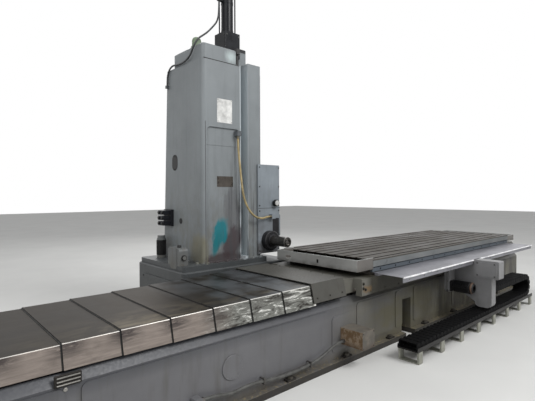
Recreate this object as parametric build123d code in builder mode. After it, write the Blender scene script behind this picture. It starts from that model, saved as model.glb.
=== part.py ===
# Floor type jig boring and milling machine: a long bed under telescopic covers, a saddle
# that rides along it with a T-slotted cross table, and a column on its own base behind the
# bed that carries a boring head with a horizontal spindle.
# Millimetres. X runs along the bed, Y away from the operator's side, Z up. The origin is
# the middle of the bed's underside.
import os
from math import pi, radians, tan
from build123d import *

os.makedirs("parts", exist_ok=True)

# Fits and clearances
running_fit = 0.05        # radial, quill in its bore and spindle in the quill
bolt_clearance = 1.5      # radial, foundation bolt in its hole
soft_gap = 0.3            # around cords and curved faces of other bodies
bend_share = 0.45         # part of a run that one bend of a cord may use

# Bed
bed_half_length = 4105
bed_joint_x = 385
flange_half_width = 634
flange_top = 58
wall_half_width = 575
wall_top = 560
deck_half_width = 530
deck_top = 620
channel_half_width = 150
panel_rise = 8
panel_corner = 40

# Bed ways and lengthwise screw
way_offset = 400
way_width = 150
way_top = 700
way_chamfer = 4
bracket_length = 55
ways_half_length = bed_half_length - bracket_length
screw_radius = 50
screw_height = 640
bearing_length = 100
bearing_half_width = 140
bearing_corner = 30
bearing_top = 695

# Telescopic covers
left_seam = -1250
left_count = 8
left_pitch = (ways_half_length + left_seam) / left_count
right_pitch = 30
right_count = 5
right_seam = ways_half_length - right_count * right_pitch
right_cover_length = 572
cover_overlap = 30
cover_step = 6
cover_sheet = 3
cover_half_width = 555
cover_top = 817
cover_bottom = 638
skirt_slope = 0.25        # outwards for each millimetre down
cover_corner = 10
cover_plate = 5

# Saddle
saddle_left = -609
saddle_right = 3345
saddle_half_width = 664
saddle_top = 800
apron_thickness = 74
apron_bottom = 627
nose_left = -785
nose_half_width = 554
nose_bottom = 658
box_wall = 6
box_half_width = 564
box_top = 835
low_box_top = 826
box_bottom = 660
left_box_end = left_seam
right_box_end = right_seam

# Table
table_left = -326
table_length = 3900
table_front = -604
table_back = 747
table_bottom = 829
table_top = 960
slot_count = 9
slot_pitch = 150
slot_width = 28
slot_depth = 30
slot_head_width = 46
slot_head_height = 20
edge_strip_bottom = 884
edge_groove_bottom = 872
edge_groove_depth = 24
edge_recess = 10
edge_hole_radius = 12
edge_hole_pitch = 300

# Cross drive
cross_axis_x = 1245
cross_axis_z = 755
cross_screw_radius = 30
cross_trough_half = 80
cross_trough_floor = 712
rail_width = 160
rail_length = 1240
rail_middle_y = 30
rail_end_gap = 10

# Column, base and head
base_top = 790
base_flange_top = 848
column_left = -1424
column_right = -549
column_front = 957
column_back = 1900
column_back_top = 1780
column_top = 3248
post_left = -750
post_top = 3300
guide_face = -509
head_front = 930
head_left = -608
head_right = -224
head_bottom = 890
head_split = 1475
head_top = 2040
spindle_x = -430
spindle_z = 1055
quill_radius = 63.5
quill_tip = 572
quill_length = 1150
spindle_radius = 45
taper_mouth_radius = 34.9
taper_depth = 102
taper_end_radius = 20
balance_x = -810
balance_y = 1307
vertical_screw_x = -610


def bend_radii(points, share):
    """Radius of each bend: a share of the shorter run beside it over the tangent of half
    of the turn, so that no two bends meet."""
    radii = []
    for before, corner, after in zip(points, points[1:], points[2:]):
        first = Vector(*corner) - Vector(*before)
        second = Vector(*after) - Vector(*corner)
        turn = radians(first.get_angle(second))
        radii.append(share * min(first.length, second.length) / tan(turn / 2))
    return radii


def round_cord(points, radius, share):
    """Plain tube of straight runs joined by tangent arcs."""
    with BuildPart() as cord:
        with BuildLine() as route:
            FilletPolyline(*points, radius=bend_radii(points, share))
        with BuildSketch(Plane(origin=route.line @ 0, z_dir=route.line % 0)):
            Circle(radius)
        sweep()
    return cord.part


def telescopic_cover(x_start, x_end, step, plate_at):
    """One bent sheet open below, its skirts sloping outwards, with the end plate that
    rides on the ways."""
    half_width = cover_half_width - step * cover_step
    top = cover_top - step * cover_step
    foot_half = half_width + skirt_slope * (top - cover_bottom)
    inner_half = half_width - cover_sheet
    inner_foot = foot_half - cover_sheet
    middle = (x_start + x_end) / 2
    with BuildPart() as cover:
        with BuildSketch(Plane.YZ.offset(x_start)):
            with BuildLine():
                FilletPolyline(
                    (-foot_half, cover_bottom),
                    (-half_width, top),
                    (half_width, top),
                    (foot_half, cover_bottom),
                    radius=cover_corner,
                )
                Line((foot_half, cover_bottom), (-foot_half, cover_bottom))
            make_face()
            with BuildLine():
                FilletPolyline(
                    (-inner_foot, cover_bottom),
                    (-inner_half, top - cover_sheet),
                    (inner_half, top - cover_sheet),
                    (inner_foot, cover_bottom),
                    radius=cover_corner - cover_sheet,
                )
                Line((inner_foot, cover_bottom), (-inner_foot, cover_bottom))
            make_face(mode=Mode.SUBTRACT)
        extrude(amount=x_end - x_start)
        plate_height = top - cover_sheet - way_top
        plate_x = x_start if plate_at < middle else x_end - cover_plate
        with Locations((plate_x + cover_plate / 2, 0, way_top + plate_height / 2)):
            Box(cover_plate, 2 * inner_half, plate_height)
    return cover.part


def bed_casting(x_start, x_end, panels):
    """Half of the bed: wide foot flange, sloped shoulders, centre channel, raised panels
    on both long walls."""
    length = x_end - x_start
    with BuildPart() as casting:
        with BuildSketch(Plane.YZ.offset(x_start)):
            with BuildLine():
                Polyline(
                    (-flange_half_width, 0),
                    (-flange_half_width, flange_top),
                    (-wall_half_width, flange_top),
                    (-wall_half_width, wall_top),
                    (-deck_half_width, deck_top),
                    (-channel_half_width, deck_top),
                    (-channel_half_width, wall_top),
                    (channel_half_width, wall_top),
                    (channel_half_width, deck_top),
                    (deck_half_width, deck_top),
                    (wall_half_width, wall_top),
                    (wall_half_width, flange_top),
                    (flange_half_width, flange_top),
                    (flange_half_width, 0),
                    close=True,
                )
            make_face()
        extrude(amount=length)
        for left, right, low, high in panels:
            for side in (-1, 1):
                with BuildSketch(Plane.XZ.offset(-side * wall_half_width)):
                    with Locations(((left + right) / 2, (low + high) / 2)):
                        RectangleRounded(right - left, high - low, panel_corner)
                extrude(amount=-side * panel_rise)
    return casting.part


# Bed, in two lengths that meet end to end
anchor_pitch = 780
anchor_count = 11
anchor_offset = 604.5
anchor_radius = 15
anchor_hole = anchor_radius + bolt_clearance
pocket_left = 285
pocket_right = 486
pocket_top = 430
pocket_depth = 150
pilaster_width = 140
panel_low_edge = 130
panel_high_edge = 545
end_frame = 50
anchor_xs = [(i - (anchor_count - 1) / 2) * anchor_pitch for i in range(anchor_count)]
anchor_places = [(x, side * anchor_offset, 0) for x in anchor_xs for side in (-1, 1)]

left_panels = [
    (-bed_half_length + end_frame, -3355, panel_low_edge, panel_high_edge),
    (-3262, -1015, panel_low_edge, panel_high_edge),
    (-971, -626, panel_low_edge, 475),
    (-582, 101, panel_low_edge, panel_high_edge),
    (pocket_left - pilaster_width, pocket_left, panel_low_edge, panel_high_edge),
]
right_panels = [
    (540, 1500, panel_low_edge, panel_high_edge),
    (1560, 2740, panel_low_edge, panel_high_edge),
    (2800, bed_half_length - end_frame, panel_low_edge, panel_high_edge),
]

with BuildPart() as bed_left:
    add(bed_casting(-bed_half_length, bed_joint_x, left_panels))
    with Locations(((pocket_left + bed_joint_x) / 2, -wall_half_width, pocket_top / 2)):
        Box(bed_joint_x - pocket_left, 2 * pocket_depth, pocket_top, mode=Mode.SUBTRACT)
    with Locations(*[place for place in anchor_places if place[0] < bed_joint_x]):
        Cylinder(anchor_hole, 4 * flange_top, mode=Mode.SUBTRACT)

with BuildPart() as bed_right:
    add(bed_casting(bed_joint_x, bed_half_length, right_panels))
    with Locations(((pocket_right + bed_joint_x) / 2, -wall_half_width, pocket_top / 2)):
        Box(pocket_right - bed_joint_x, 2 * pocket_depth, pocket_top, mode=Mode.SUBTRACT)
    with Locations(*[place for place in anchor_places if place[0] > bed_joint_x]):
        Cylinder(anchor_hole, 4 * flange_top, mode=Mode.SUBTRACT)

with BuildPart() as bed_ways:
    with BuildSketch(Plane.YZ.offset(-ways_half_length)):
        with Locations((-way_offset, deck_top), (way_offset, deck_top)):
            Rectangle(way_width, way_top - deck_top, align=(Align.CENTER, Align.MIN))
    extrude(amount=2 * ways_half_length)
    chamfer(bed_ways.faces().sort_by(Axis.Z)[-2:].edges().filter_by(Axis.X), way_chamfer)

with BuildPart() as x_screw:
    with BuildSketch(Plane.YZ.offset(-ways_half_length)):
        with Locations((0, screw_height)):
            Circle(screw_radius)
    extrude(amount=2 * ways_half_length)

with BuildPart() as screw_bearings:
    with BuildSketch(Plane.XY.offset(wall_top)):
        for side in (-1, 1):
            with Locations((side * (ways_half_length - bearing_length / 2), 0)):
                Rectangle(bearing_length, 2 * bearing_half_width)
    extrude(amount=bearing_top - wall_top)
    fillet(screw_bearings.faces().sort_by(Axis.Z)[-2:].edges().filter_by(Axis.X), bearing_corner)
    with BuildSketch(Plane.YZ.offset(-bed_half_length)):
        with Locations((0, screw_height)):
            Circle(screw_radius + running_fit)
    extrude(amount=2 * bed_half_length, mode=Mode.SUBTRACT)

bracket_plate = 12
bracket_top = 780
bracket_half_width = 510
gusset_count = 3
gusset_pitch = 380
with BuildPart() as cover_end_brackets:
    for side in (-1, 1):
        with BuildSketch(Plane.XZ.offset(-bracket_half_width)):
            with BuildLine():
                Polyline(
                    (side * bed_half_length, deck_top),
                    (side * bed_half_length, deck_top + bracket_plate),
                    (side * (ways_half_length + bracket_plate), deck_top + bracket_plate),
                    (side * (ways_half_length + bracket_plate), bracket_top),
                    (side * ways_half_length, bracket_top),
                    (side * ways_half_length, deck_top),
                    close=True,
                )
            make_face()
        extrude(amount=2 * bracket_half_width)
        for i in range(gusset_count):
            gusset_y = (i - (gusset_count - 1) / 2) * gusset_pitch
            with BuildSketch(Plane.XZ.offset(-gusset_y - bracket_plate / 2)):
                with BuildLine():
                    Polyline(
                        (side * bed_half_length, deck_top + bracket_plate),
                        (side * (ways_half_length + bracket_plate), bracket_top - bracket_plate),
                        (side * (ways_half_length + bracket_plate), deck_top + bracket_plate),
                        close=True,
                    )
                make_face()
            extrude(amount=bracket_plate)

pad_length = 100
pad_width = 50
pad_height = 16
with BuildPart() as levelling_pads:
    with BuildSketch(Plane.XY.offset(flange_top)):
        with Locations(*[place[:2] for place in anchor_places]):
            Rectangle(pad_length, pad_width)
            Circle(anchor_hole, mode=Mode.SUBTRACT)
    extrude(amount=pad_height)

bolt_head_height = 19
bolt_head_flats = 46
with BuildPart() as anchor_bolts:
    with BuildSketch(Plane.XY):
        with Locations(*[place[:2] for place in anchor_places]):
            Circle(anchor_radius)
    extrude(amount=flange_top + pad_height)
    with BuildSketch(Plane.XY.offset(flange_top + pad_height)):
        with Locations(*[place[:2] for place in anchor_places]):
            RegularPolygon(bolt_head_flats / 2, 6, major_radius=False)
    extrude(amount=bolt_head_height)

panel_face = wall_half_width + panel_rise
plate_x = -2162
plate_z = 333
plate_radius = 95
plate_thickness = 10
plate_chamfer = 2
with BuildPart() as round_cover_plate:
    with BuildSketch(Plane.XZ.offset(panel_face)):
        with Locations((plate_x, plate_z)):
            Circle(plate_radius)
    extrude(amount=plate_thickness)
    chamfer(round_cover_plate.faces().sort_by(Axis.Y)[0].edges(), plate_chamfer)

junction_left = -850
junction_right = -658
junction_front = -842
junction_bottom = 190
junction_top = 361
junction_lid = 12
junction_inset = 4
junction_corner = 6
outlet_size = 64
outlet_corner = 8
outlet_x = -2470
outlet_z = 190
with BuildPart() as junction_box:
    with BuildSketch(Plane.XZ.offset(panel_face)):
        with Locations(
            ((junction_left + junction_right) / 2, (junction_bottom + junction_top) / 2)
        ):
            Rectangle(
                junction_right - junction_left - 2 * junction_inset,
                junction_top - junction_bottom - 2 * junction_inset,
            )
    extrude(amount=-junction_front - panel_face - junction_lid)
    with BuildSketch(Plane.XZ.offset(-junction_front - junction_lid)):
        with Locations(
            ((junction_left + junction_right) / 2, (junction_bottom + junction_top) / 2)
        ):
            RectangleRounded(
                junction_right - junction_left, junction_top - junction_bottom, junction_corner
            )
    extrude(amount=junction_lid)
    with BuildSketch(Plane.XZ.offset(panel_face)):
        with Locations((outlet_x - outlet_size / 2, outlet_z)):
            RectangleRounded(outlet_size, outlet_size, outlet_corner)
    extrude(amount=outlet_size)

conduit_radius = 14
conduit_y = -622
conduit_exit_z = 232
conduit_route = [
    (junction_left + junction_inset - soft_gap, conduit_y, conduit_exit_z),
    (-980, conduit_y, conduit_exit_z),
    (-1180, conduit_y, 150),
    (-1490, conduit_y, 122),
    (-1760, conduit_y, 134),
    (-2010, conduit_y, 172),
    (-2210, conduit_y, 150),
    (-2350, conduit_y, outlet_z),
    (outlet_x + soft_gap, conduit_y, outlet_z),
]
conduit_cable = round_cord(conduit_route, conduit_radius, bend_share)

# Cable chain beside the bed
tray_left = -342
tray_right = 3045
tray_front = -1117
tray_back = -897
tray_bottom = 118
tray_floor = 128
tray_rim = 160
tray_sheet = 5
stand_first = -286
stand_pitch = 466
stand_count = 8
stand_width = 75
stand_leg = 20
stand_foot = 10
chain_height = 80
chain_half_width = 100
chain_y = (tray_front + tray_back) / 2
loop_x = 2820
loop_radius = 170
chain_pin_gap = 2
loop_bottom = tray_floor + chain_pin_gap
loop_z = loop_bottom + loop_radius
post_right = 1490

with BuildPart() as chain_tray:
    with BuildSketch(Plane.YZ.offset(tray_left)):
        with BuildLine():
            Polyline(
                (tray_front, tray_bottom),
                (tray_front, tray_rim),
                (tray_front + tray_sheet, tray_rim),
                (tray_front + tray_sheet, tray_floor),
                (tray_back - tray_sheet, tray_floor),
                (tray_back - tray_sheet, tray_rim),
                (tray_back, tray_rim),
                (tray_back, tray_bottom),
                close=True,
            )
        make_face()
    extrude(amount=tray_right - tray_left)
    for i in range(stand_count):
        with BuildSketch(Plane.YZ.offset(stand_first + i * stand_pitch - stand_width / 2)):
            with Locations((chain_y, 0)):
                Rectangle(
                    tray_back - tray_front, tray_bottom, align=(Align.CENTER, Align.MIN)
                )
            with Locations((chain_y, stand_foot)):
                Rectangle(
                    tray_back - tray_front - 2 * stand_leg,
                    tray_bottom - stand_foot,
                    align=(Align.CENTER, Align.MIN),
                    mode=Mode.SUBTRACT,
                )
        extrude(amount=stand_width)

with BuildPart() as chain_lower_run:
    with BuildSketch(Plane.XZ.offset(-chain_y - chain_half_width)):
        with BuildLine():
            Polyline(
                (tray_left, tray_floor),
                (loop_x, tray_floor),
                (loop_x, tray_floor + chain_height),
                (tray_left, tray_floor + chain_height),
                close=True,
            )
        make_face()
    extrude(amount=2 * chain_half_width)

with BuildPart() as chain_loop:
    with BuildSketch(Plane.XZ.offset(-chain_y - chain_half_width)):
        with Locations((loop_x, loop_z)):
            Circle(loop_radius)
            Circle(loop_radius - chain_height, mode=Mode.SUBTRACT)
        with Locations((loop_x, loop_z)):
            Rectangle(
                loop_radius,
                2 * loop_radius,
                align=(Align.MAX, Align.CENTER),
                mode=Mode.SUBTRACT,
            )
    extrude(amount=2 * chain_half_width)

with BuildPart() as chain_upper_run:
    with BuildSketch(Plane.XZ.offset(-chain_y - chain_half_width)):
        with Locations((post_right, loop_z + loop_radius)):
            Rectangle(loop_x - post_right, chain_height, align=(Align.MIN, Align.MAX))
    extrude(amount=2 * chain_half_width)

# Telescopic covers, the largest ones next to the saddle
left_covers = []
for k in range(left_count):
    left_edge = left_seam - left_pitch * (k + 1)
    right_edge = left_seam - left_pitch * k + cover_overlap
    left_covers.append(telescopic_cover(left_edge, right_edge, k, right_edge))

right_covers = []
for k in range(right_count):
    far_edge = right_seam + right_pitch * (k + 1)
    near_edge = far_edge - right_cover_length
    right_covers.append(telescopic_cover(near_edge, far_edge, k, near_edge))

# Saddle and what rides on it
nut_left = 1180
nut_length = 300
nut_half_width = 130
nut_gap = 62
nut_bottom = 575
slab_bottom = way_top
apron_corner = 8
nose_wall = 40
apron_inner = saddle_half_width - apron_thickness
saddle_length = saddle_right - saddle_left
with BuildPart() as saddle:
    with BuildSketch(Plane.YZ.offset(saddle_left)):
        with BuildLine():
            Polyline(
                (-saddle_half_width, apron_bottom),
                (-saddle_half_width, saddle_top),
                (saddle_half_width, saddle_top),
                (saddle_half_width, apron_bottom),
                (apron_inner, apron_bottom),
                (apron_inner, slab_bottom),
                (-apron_inner, slab_bottom),
                (-apron_inner, apron_bottom),
                close=True,
            )
        make_face()
    extrude(amount=saddle_length)
    fillet(saddle.edges().filter_by(Axis.X).group_by(Axis.Z)[0].sort_by(Axis.Y)[0], apron_corner)
    with BuildSketch(Plane.YZ.offset(nose_left)):
        with BuildLine():
            Polyline(
                (-nose_half_width, nose_bottom),
                (-nose_half_width, saddle_top),
                (nose_half_width, saddle_top),
                (nose_half_width, nose_bottom),
                (nose_half_width - nose_wall, nose_bottom),
                (nose_half_width - nose_wall, slab_bottom),
                (-nose_half_width + nose_wall, slab_bottom),
                (-nose_half_width + nose_wall, nose_bottom),
                close=True,
            )
        make_face()
    extrude(amount=saddle_left - nose_left)
    with BuildSketch(Plane.YZ.offset(nut_left)):
        with Locations((-nut_half_width, nut_bottom), (nut_gap, nut_bottom)):
            Rectangle(
                nut_half_width - nut_gap,
                slab_bottom - nut_bottom,
                align=(Align.MIN, Align.MIN),
            )
    extrude(amount=nut_length)
    with BuildSketch(Plane.XY.offset(cross_trough_floor)):
        with Locations((cross_axis_x, 0)):
            Rectangle(2 * cross_trough_half, rail_length)
    extrude(amount=saddle_top, mode=Mode.SUBTRACT)

rail_centres = [-230, 780, 2350, saddle_right - rail_width / 2 - rail_end_gap]
with BuildPart() as cross_ways:
    with BuildSketch(Plane.XY.offset(saddle_top)):
        with Locations(*[(x, rail_middle_y) for x in rail_centres]):
            Rectangle(rail_width, rail_length)
    extrude(amount=table_bottom - saddle_top)

with BuildPart() as cross_screw:
    with BuildSketch(Plane.XZ.offset(rail_length / 2)):
        with Locations((cross_axis_x, cross_axis_z)):
            Circle(cross_screw_radius)
    extrude(amount=-rail_length)


def cover_box(x_open, x_closed, top):
    """Fixed shroud over the largest cover with sides that slope as the covers' do, open at
    one end and closed at the other by a bulkhead that leaves the ways and the screw free."""
    low = min(x_open, x_closed)
    length = abs(x_closed - x_open)
    bulkhead_x = x_closed - box_wall if x_closed > x_open else x_closed
    foot_half = box_half_width + skirt_slope * (top - box_bottom)
    with BuildPart() as box:
        with BuildSketch(Plane.YZ.offset(low)):
            with BuildLine():
                Polyline(
                    (-foot_half, box_bottom),
                    (-box_half_width, top),
                    (box_half_width, top),
                    (foot_half, box_bottom),
                    (foot_half - box_wall, box_bottom),
                    (box_half_width - box_wall, top - box_wall),
                    (-box_half_width + box_wall, top - box_wall),
                    (-foot_half + box_wall, box_bottom),
                    close=True,
                )
            make_face()
        extrude(amount=length)
        with BuildSketch(Plane.YZ.offset(bulkhead_x)):
            with BuildLine():
                Polyline(
                    (-foot_half, box_bottom),
                    (-box_half_width, top),
                    (box_half_width, top),
                    (foot_half, box_bottom),
                    close=True,
                )
            make_face()
            with Locations((0, box_bottom)):
                Rectangle(
                    2 * (way_offset + way_width / 2 + box_wall),
                    way_top + 2 * box_wall - box_bottom,
                    align=(Align.CENTER, Align.MIN),
                    mode=Mode.SUBTRACT,
                )
        extrude(amount=box_wall)
    return box.part


left_cover_box = cover_box(left_box_end, nose_left, box_top)
right_cover_box = cover_box(right_box_end, saddle_right, low_box_top)

gutter_outer = -946
gutter_lip = -950
gutter_sheet = 4
gutter_slope = 4
gutter_lip_top = 828
gutter_lip_low = 768
gutter_lip_short = 792
gutter_notch_gap = 15
gutter_bar_top = 822
gutter_bar_width = 40
outrigger_left = 1345
outrigger_right = 1505
with BuildPart() as gutter:
    with BuildSketch(Plane.YZ.offset(table_left)):
        with BuildLine():
            Polyline(
                (table_front, gutter_bar_top + gutter_sheet),
                (-saddle_half_width, gutter_bar_top + gutter_sheet),
                (gutter_outer, gutter_bar_top + gutter_sheet - gutter_slope),
                (gutter_outer, gutter_lip_top),
                (gutter_lip, gutter_lip_top),
                (gutter_lip, gutter_lip_low),
                (gutter_outer, gutter_lip_low),
                (gutter_outer, gutter_bar_top - gutter_slope),
                (-saddle_half_width, gutter_bar_top),
                (table_front, gutter_bar_top),
                close=True,
            )
        make_face()
    extrude(amount=table_length)
    with BuildSketch(Plane.YZ.offset(table_left)):
        with Locations((-saddle_half_width, saddle_top)):
            Rectangle(
                gutter_bar_width, gutter_bar_top - saddle_top, align=(Align.MIN, Align.MIN)
            )
    extrude(amount=saddle_right - table_left)
    with BuildSketch(Plane.YZ.offset(outrigger_left - gutter_notch_gap)):
        with Locations((gutter_lip, gutter_lip_low)):
            Rectangle(
                gutter_sheet, gutter_lip_short - gutter_lip_low, align=(Align.MIN, Align.MIN)
            )
    extrude(
        amount=outrigger_right - outrigger_left + 2 * gutter_notch_gap, mode=Mode.SUBTRACT
    )

outrigger_front = -1247
outrigger_back = -956
outrigger_low = 605
outrigger_high = 825
outrigger_foot = 240
outrigger_post_front = -1160
outrigger_post_inset = 15
outrigger_corner = 14
outrigger_face_frame = 50
outrigger_face_corner = 30
outrigger_face_rise = 8
outrigger_set_back = 4
outrigger_overlap = 20
outrigger_foot_corner = 60
post_back = outrigger_back - outrigger_set_back
with BuildPart() as outrigger_post:
    with BuildSketch(Plane.YZ.offset(outrigger_left)):
        with Locations(
            ((outrigger_front + outrigger_back) / 2, (outrigger_low + outrigger_high) / 2)
        ):
            RectangleRounded(
                outrigger_back - outrigger_front,
                outrigger_high - outrigger_low,
                outrigger_corner,
            )
    extrude(amount=outrigger_right - outrigger_left)
    with BuildSketch(Plane.YZ.offset(outrigger_left)):
        with Locations(
            ((outrigger_front + outrigger_back) / 2, (outrigger_low + outrigger_high) / 2)
        ):
            RectangleRounded(
                outrigger_back - outrigger_front - outrigger_face_frame,
                outrigger_high - outrigger_low - outrigger_face_frame,
                outrigger_face_corner,
            )
    extrude(amount=-outrigger_face_rise)
    with BuildSketch(Plane.YZ.offset(outrigger_left + outrigger_post_inset)):
        with BuildLine():
            FilletPolyline(
                (post_back, outrigger_low + outrigger_overlap),
                (post_back, outrigger_foot),
                (outrigger_post_front, outrigger_foot),
                (outrigger_post_front, outrigger_low + outrigger_overlap),
                radius=outrigger_foot_corner,
            )
            Line(
                (outrigger_post_front, outrigger_low + outrigger_overlap),
                (post_back, outrigger_low + outrigger_overlap),
            )
        make_face()
    extrude(amount=post_right - outrigger_left - outrigger_post_inset)

arm_thickness = 60
arm_high = 770
arm_low_inner = 400
arm_low_outer = 300
arm_foot_gap = 5
arm_run_in = 120
with BuildPart() as outrigger_arm:
    with BuildSketch(Plane.YZ.offset(outrigger_left + outrigger_post_inset)):
        with BuildLine():
            Polyline(
                (-saddle_half_width, apron_bottom + arm_foot_gap),
                (-saddle_half_width, arm_high),
                (outrigger_back, arm_high),
                (outrigger_back, outrigger_low),
                (post_back, outrigger_low),
                (post_back, arm_low_outer),
                (-saddle_half_width - arm_run_in, arm_low_inner),
                close=True,
            )
        make_face()
    extrude(amount=arm_thickness)

belt_left = 1165
belt_right = 1325
belt_low = 400
belt_high = 790
belt_front = -724
motor_z = 480
motor_radius = 68
motor_front = -1000
motor_flange = 24
motor_flange_corner = 20
motor_bell = 60
motor_bell_step = 8
motor_bell_corner = 10
belt_corner = 50
with BuildPart() as belt_housing:
    with BuildSketch(Plane.XZ.offset(saddle_half_width)):
        with Locations(((belt_left + belt_right) / 2, (belt_low + belt_high) / 2)):
            RectangleRounded(belt_right - belt_left, belt_high - belt_low, belt_corner)
    extrude(amount=-belt_front - saddle_half_width)

with BuildPart() as cross_motor:
    with BuildSketch(Plane.XZ.offset(-belt_front)):
        with Locations((cross_axis_x, motor_z)):
            RectangleRounded(2 * motor_radius, 2 * motor_radius, motor_flange_corner)
    extrude(amount=motor_flange)
    with BuildSketch(Plane.XZ.offset(-belt_front + motor_flange)):
        with Locations((cross_axis_x, motor_z)):
            Circle(motor_radius)
    extrude(amount=-motor_front + belt_front - motor_flange - motor_bell)
    with BuildSketch(Plane.XZ.offset(-motor_front - motor_bell)):
        with Locations((cross_axis_x, motor_z)):
            Circle(motor_radius - motor_bell_step)
    extrude(amount=motor_bell)
    fillet(cross_motor.faces().sort_by(Axis.Y)[0].edges(), motor_bell_corner)

# Table with its T-slots and the chip troughs at both ends
table_right = table_left + table_length
table_middle = (table_front + table_back) / 2
table_centre_x = (table_left + table_right) / 2
slot_places = [
    (table_middle + (i - (slot_count - 1) / 2) * slot_pitch, table_top)
    for i in range(slot_count)
]
edge_holes = int(table_length / edge_hole_pitch)
edge_hole_z = (table_bottom + edge_groove_bottom) / 2
table_nut_length = 160
table_nut_gap = 10
table_nut_floor_gap = 8
table_nut_screw_gap = 6
table_nut_width = cross_trough_half - table_nut_gap - cross_screw_radius - table_nut_screw_gap
table_nut_height = table_bottom - cross_trough_floor - table_nut_floor_gap
with BuildPart() as table:
    with BuildSketch(Plane.YZ.offset(table_left)):
        with BuildLine():
            Polyline(
                (table_front + edge_recess, table_bottom),
                (table_front + edge_recess, edge_groove_bottom),
                (table_front + edge_groove_depth, edge_groove_bottom),
                (table_front + edge_groove_depth, edge_strip_bottom),
                (table_front, edge_strip_bottom),
                (table_front, table_top),
                (table_back, table_top),
                (table_back, edge_strip_bottom),
                (table_back - edge_groove_depth, edge_strip_bottom),
                (table_back - edge_groove_depth, edge_groove_bottom),
                (table_back - edge_recess, edge_groove_bottom),
                (table_back - edge_recess, table_bottom),
                close=True,
            )
        make_face()
        with Locations(*slot_places):
            Rectangle(
                slot_width,
                2 * slot_depth,
                mode=Mode.SUBTRACT,
            )
        with Locations(*[(y, z - slot_depth) for y, z in slot_places]):
            Rectangle(
                slot_head_width,
                slot_head_height,
                align=(Align.CENTER, Align.MAX),
                mode=Mode.SUBTRACT,
            )
    extrude(amount=table_length)
    with BuildSketch(Plane.XZ.offset(-table_front - edge_recess)):
        with Locations((table_centre_x, edge_hole_z)):
            with GridLocations(edge_hole_pitch, 1, edge_holes, 1):
                Circle(edge_hole_radius)
    extrude(amount=-2 * edge_recess, mode=Mode.SUBTRACT)
    with BuildSketch(Plane.YZ.offset(cross_axis_x - cross_trough_half + table_nut_gap)):
        with Locations((table_middle, table_bottom)):
            Rectangle(table_nut_length, table_nut_height, align=(Align.CENTER, Align.MAX))
    extrude(amount=table_nut_width)
    with BuildSketch(Plane.YZ.offset(cross_axis_x + cross_screw_radius + table_nut_screw_gap)):
        with Locations((table_middle, table_bottom)):
            Rectangle(table_nut_length, table_nut_height, align=(Align.CENTER, Align.MAX))
    extrude(amount=table_nut_width)

trough_width = 279
trough_back = 578
trough_left_rim = 980
trough_right_rim = 950
trough_bottom = 862
trough_wall = 6
trough_table_rim = 905
trough_drain_radius = 22
trough_drain_inset = 190
trough_drain_height = 50
with BuildPart() as end_troughs:
    for side, trough_rim in ((-1, trough_left_rim), (1, trough_right_rim)):
        outer_x = table_centre_x + side * (table_length / 2 + trough_width)
        centre_x = table_centre_x + side * (table_length + trough_width) / 2
        table_end = table_centre_x + side * table_length / 2
        trough_y = (table_front + trough_back) / 2
        trough_length = trough_back - table_front
        with BuildSketch(Plane.XY.offset(trough_bottom)):
            with Locations((centre_x, trough_y)):
                Rectangle(trough_width, trough_length)
        extrude(amount=trough_rim - trough_bottom)
        with BuildSketch(Plane.XY.offset(trough_bottom + trough_wall)):
            with Locations((centre_x, trough_y)):
                Rectangle(trough_width - 2 * trough_wall, trough_length - 2 * trough_wall)
        extrude(amount=trough_rim, mode=Mode.SUBTRACT)
        with BuildSketch(Plane.XY.offset(trough_table_rim)):
            with Locations((table_end + side * trough_wall / 2, trough_y)):
                Rectangle(trough_wall, trough_length)
        extrude(amount=trough_rim, mode=Mode.SUBTRACT)
        with BuildSketch(Plane.YZ.offset(outer_x)):
            with Locations((trough_back - trough_drain_inset, trough_bottom + trough_drain_height)):
                SlotOverall(4 * trough_drain_radius, 2 * trough_drain_radius)
        extrude(amount=-side * 2 * trough_wall, mode=Mode.SUBTRACT)

# Column on its own base
base_left = -1738
base_right = -100
base_front = 860
base_back = 2020
base_flange_front = 897
base_flange_left = -1712
base_flange_step = 80
flange_inset = 20
base_corner = 60
base_flange_corner = 50
base_chamfer = 12
side_panel_height = 550
tie_inset = 140
tie_top = 540
side_panel_frame = 160
with BuildPart() as column_base:
    with BuildSketch(Plane.XY):
        with Locations(((base_left + base_right) / 2, (base_front + base_back) / 2)):
            RectangleRounded(base_right - base_left, base_back - base_front, base_corner)
    extrude(amount=base_top)
    chamfer(column_base.faces().sort_by(Axis.Z)[-1].edges(), base_chamfer)
    with BuildSketch(Plane.XY):
        with Locations(((base_left + base_right) / 2, flange_half_width)):
            Rectangle(
                base_right - base_left - 2 * tie_inset,
                base_front - flange_half_width,
                align=(Align.CENTER, Align.MIN),
            )
    extrude(amount=tie_top)
    with BuildSketch(Plane.XY.offset(base_top)):
        with Locations(
            (
                (base_flange_left + column_right + base_flange_step) / 2,
                (base_flange_front + base_back - flange_inset) / 2,
            )
        ):
            RectangleRounded(
                column_right + base_flange_step - base_flange_left,
                base_back - flange_inset - base_flange_front,
                base_flange_corner,
            )
    extrude(amount=base_flange_top - base_top)
    for side in (-1, 1):
        with BuildSketch(Plane.YZ.offset(base_left if side < 0 else base_right)):
            with Locations(((base_front + base_back) / 2, base_top / 2)):
                RectangleRounded(
                    base_back - base_front - 2 * side_panel_frame,
                    side_panel_height,
                    panel_corner,
                )
        extrude(amount=side * panel_rise)

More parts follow.
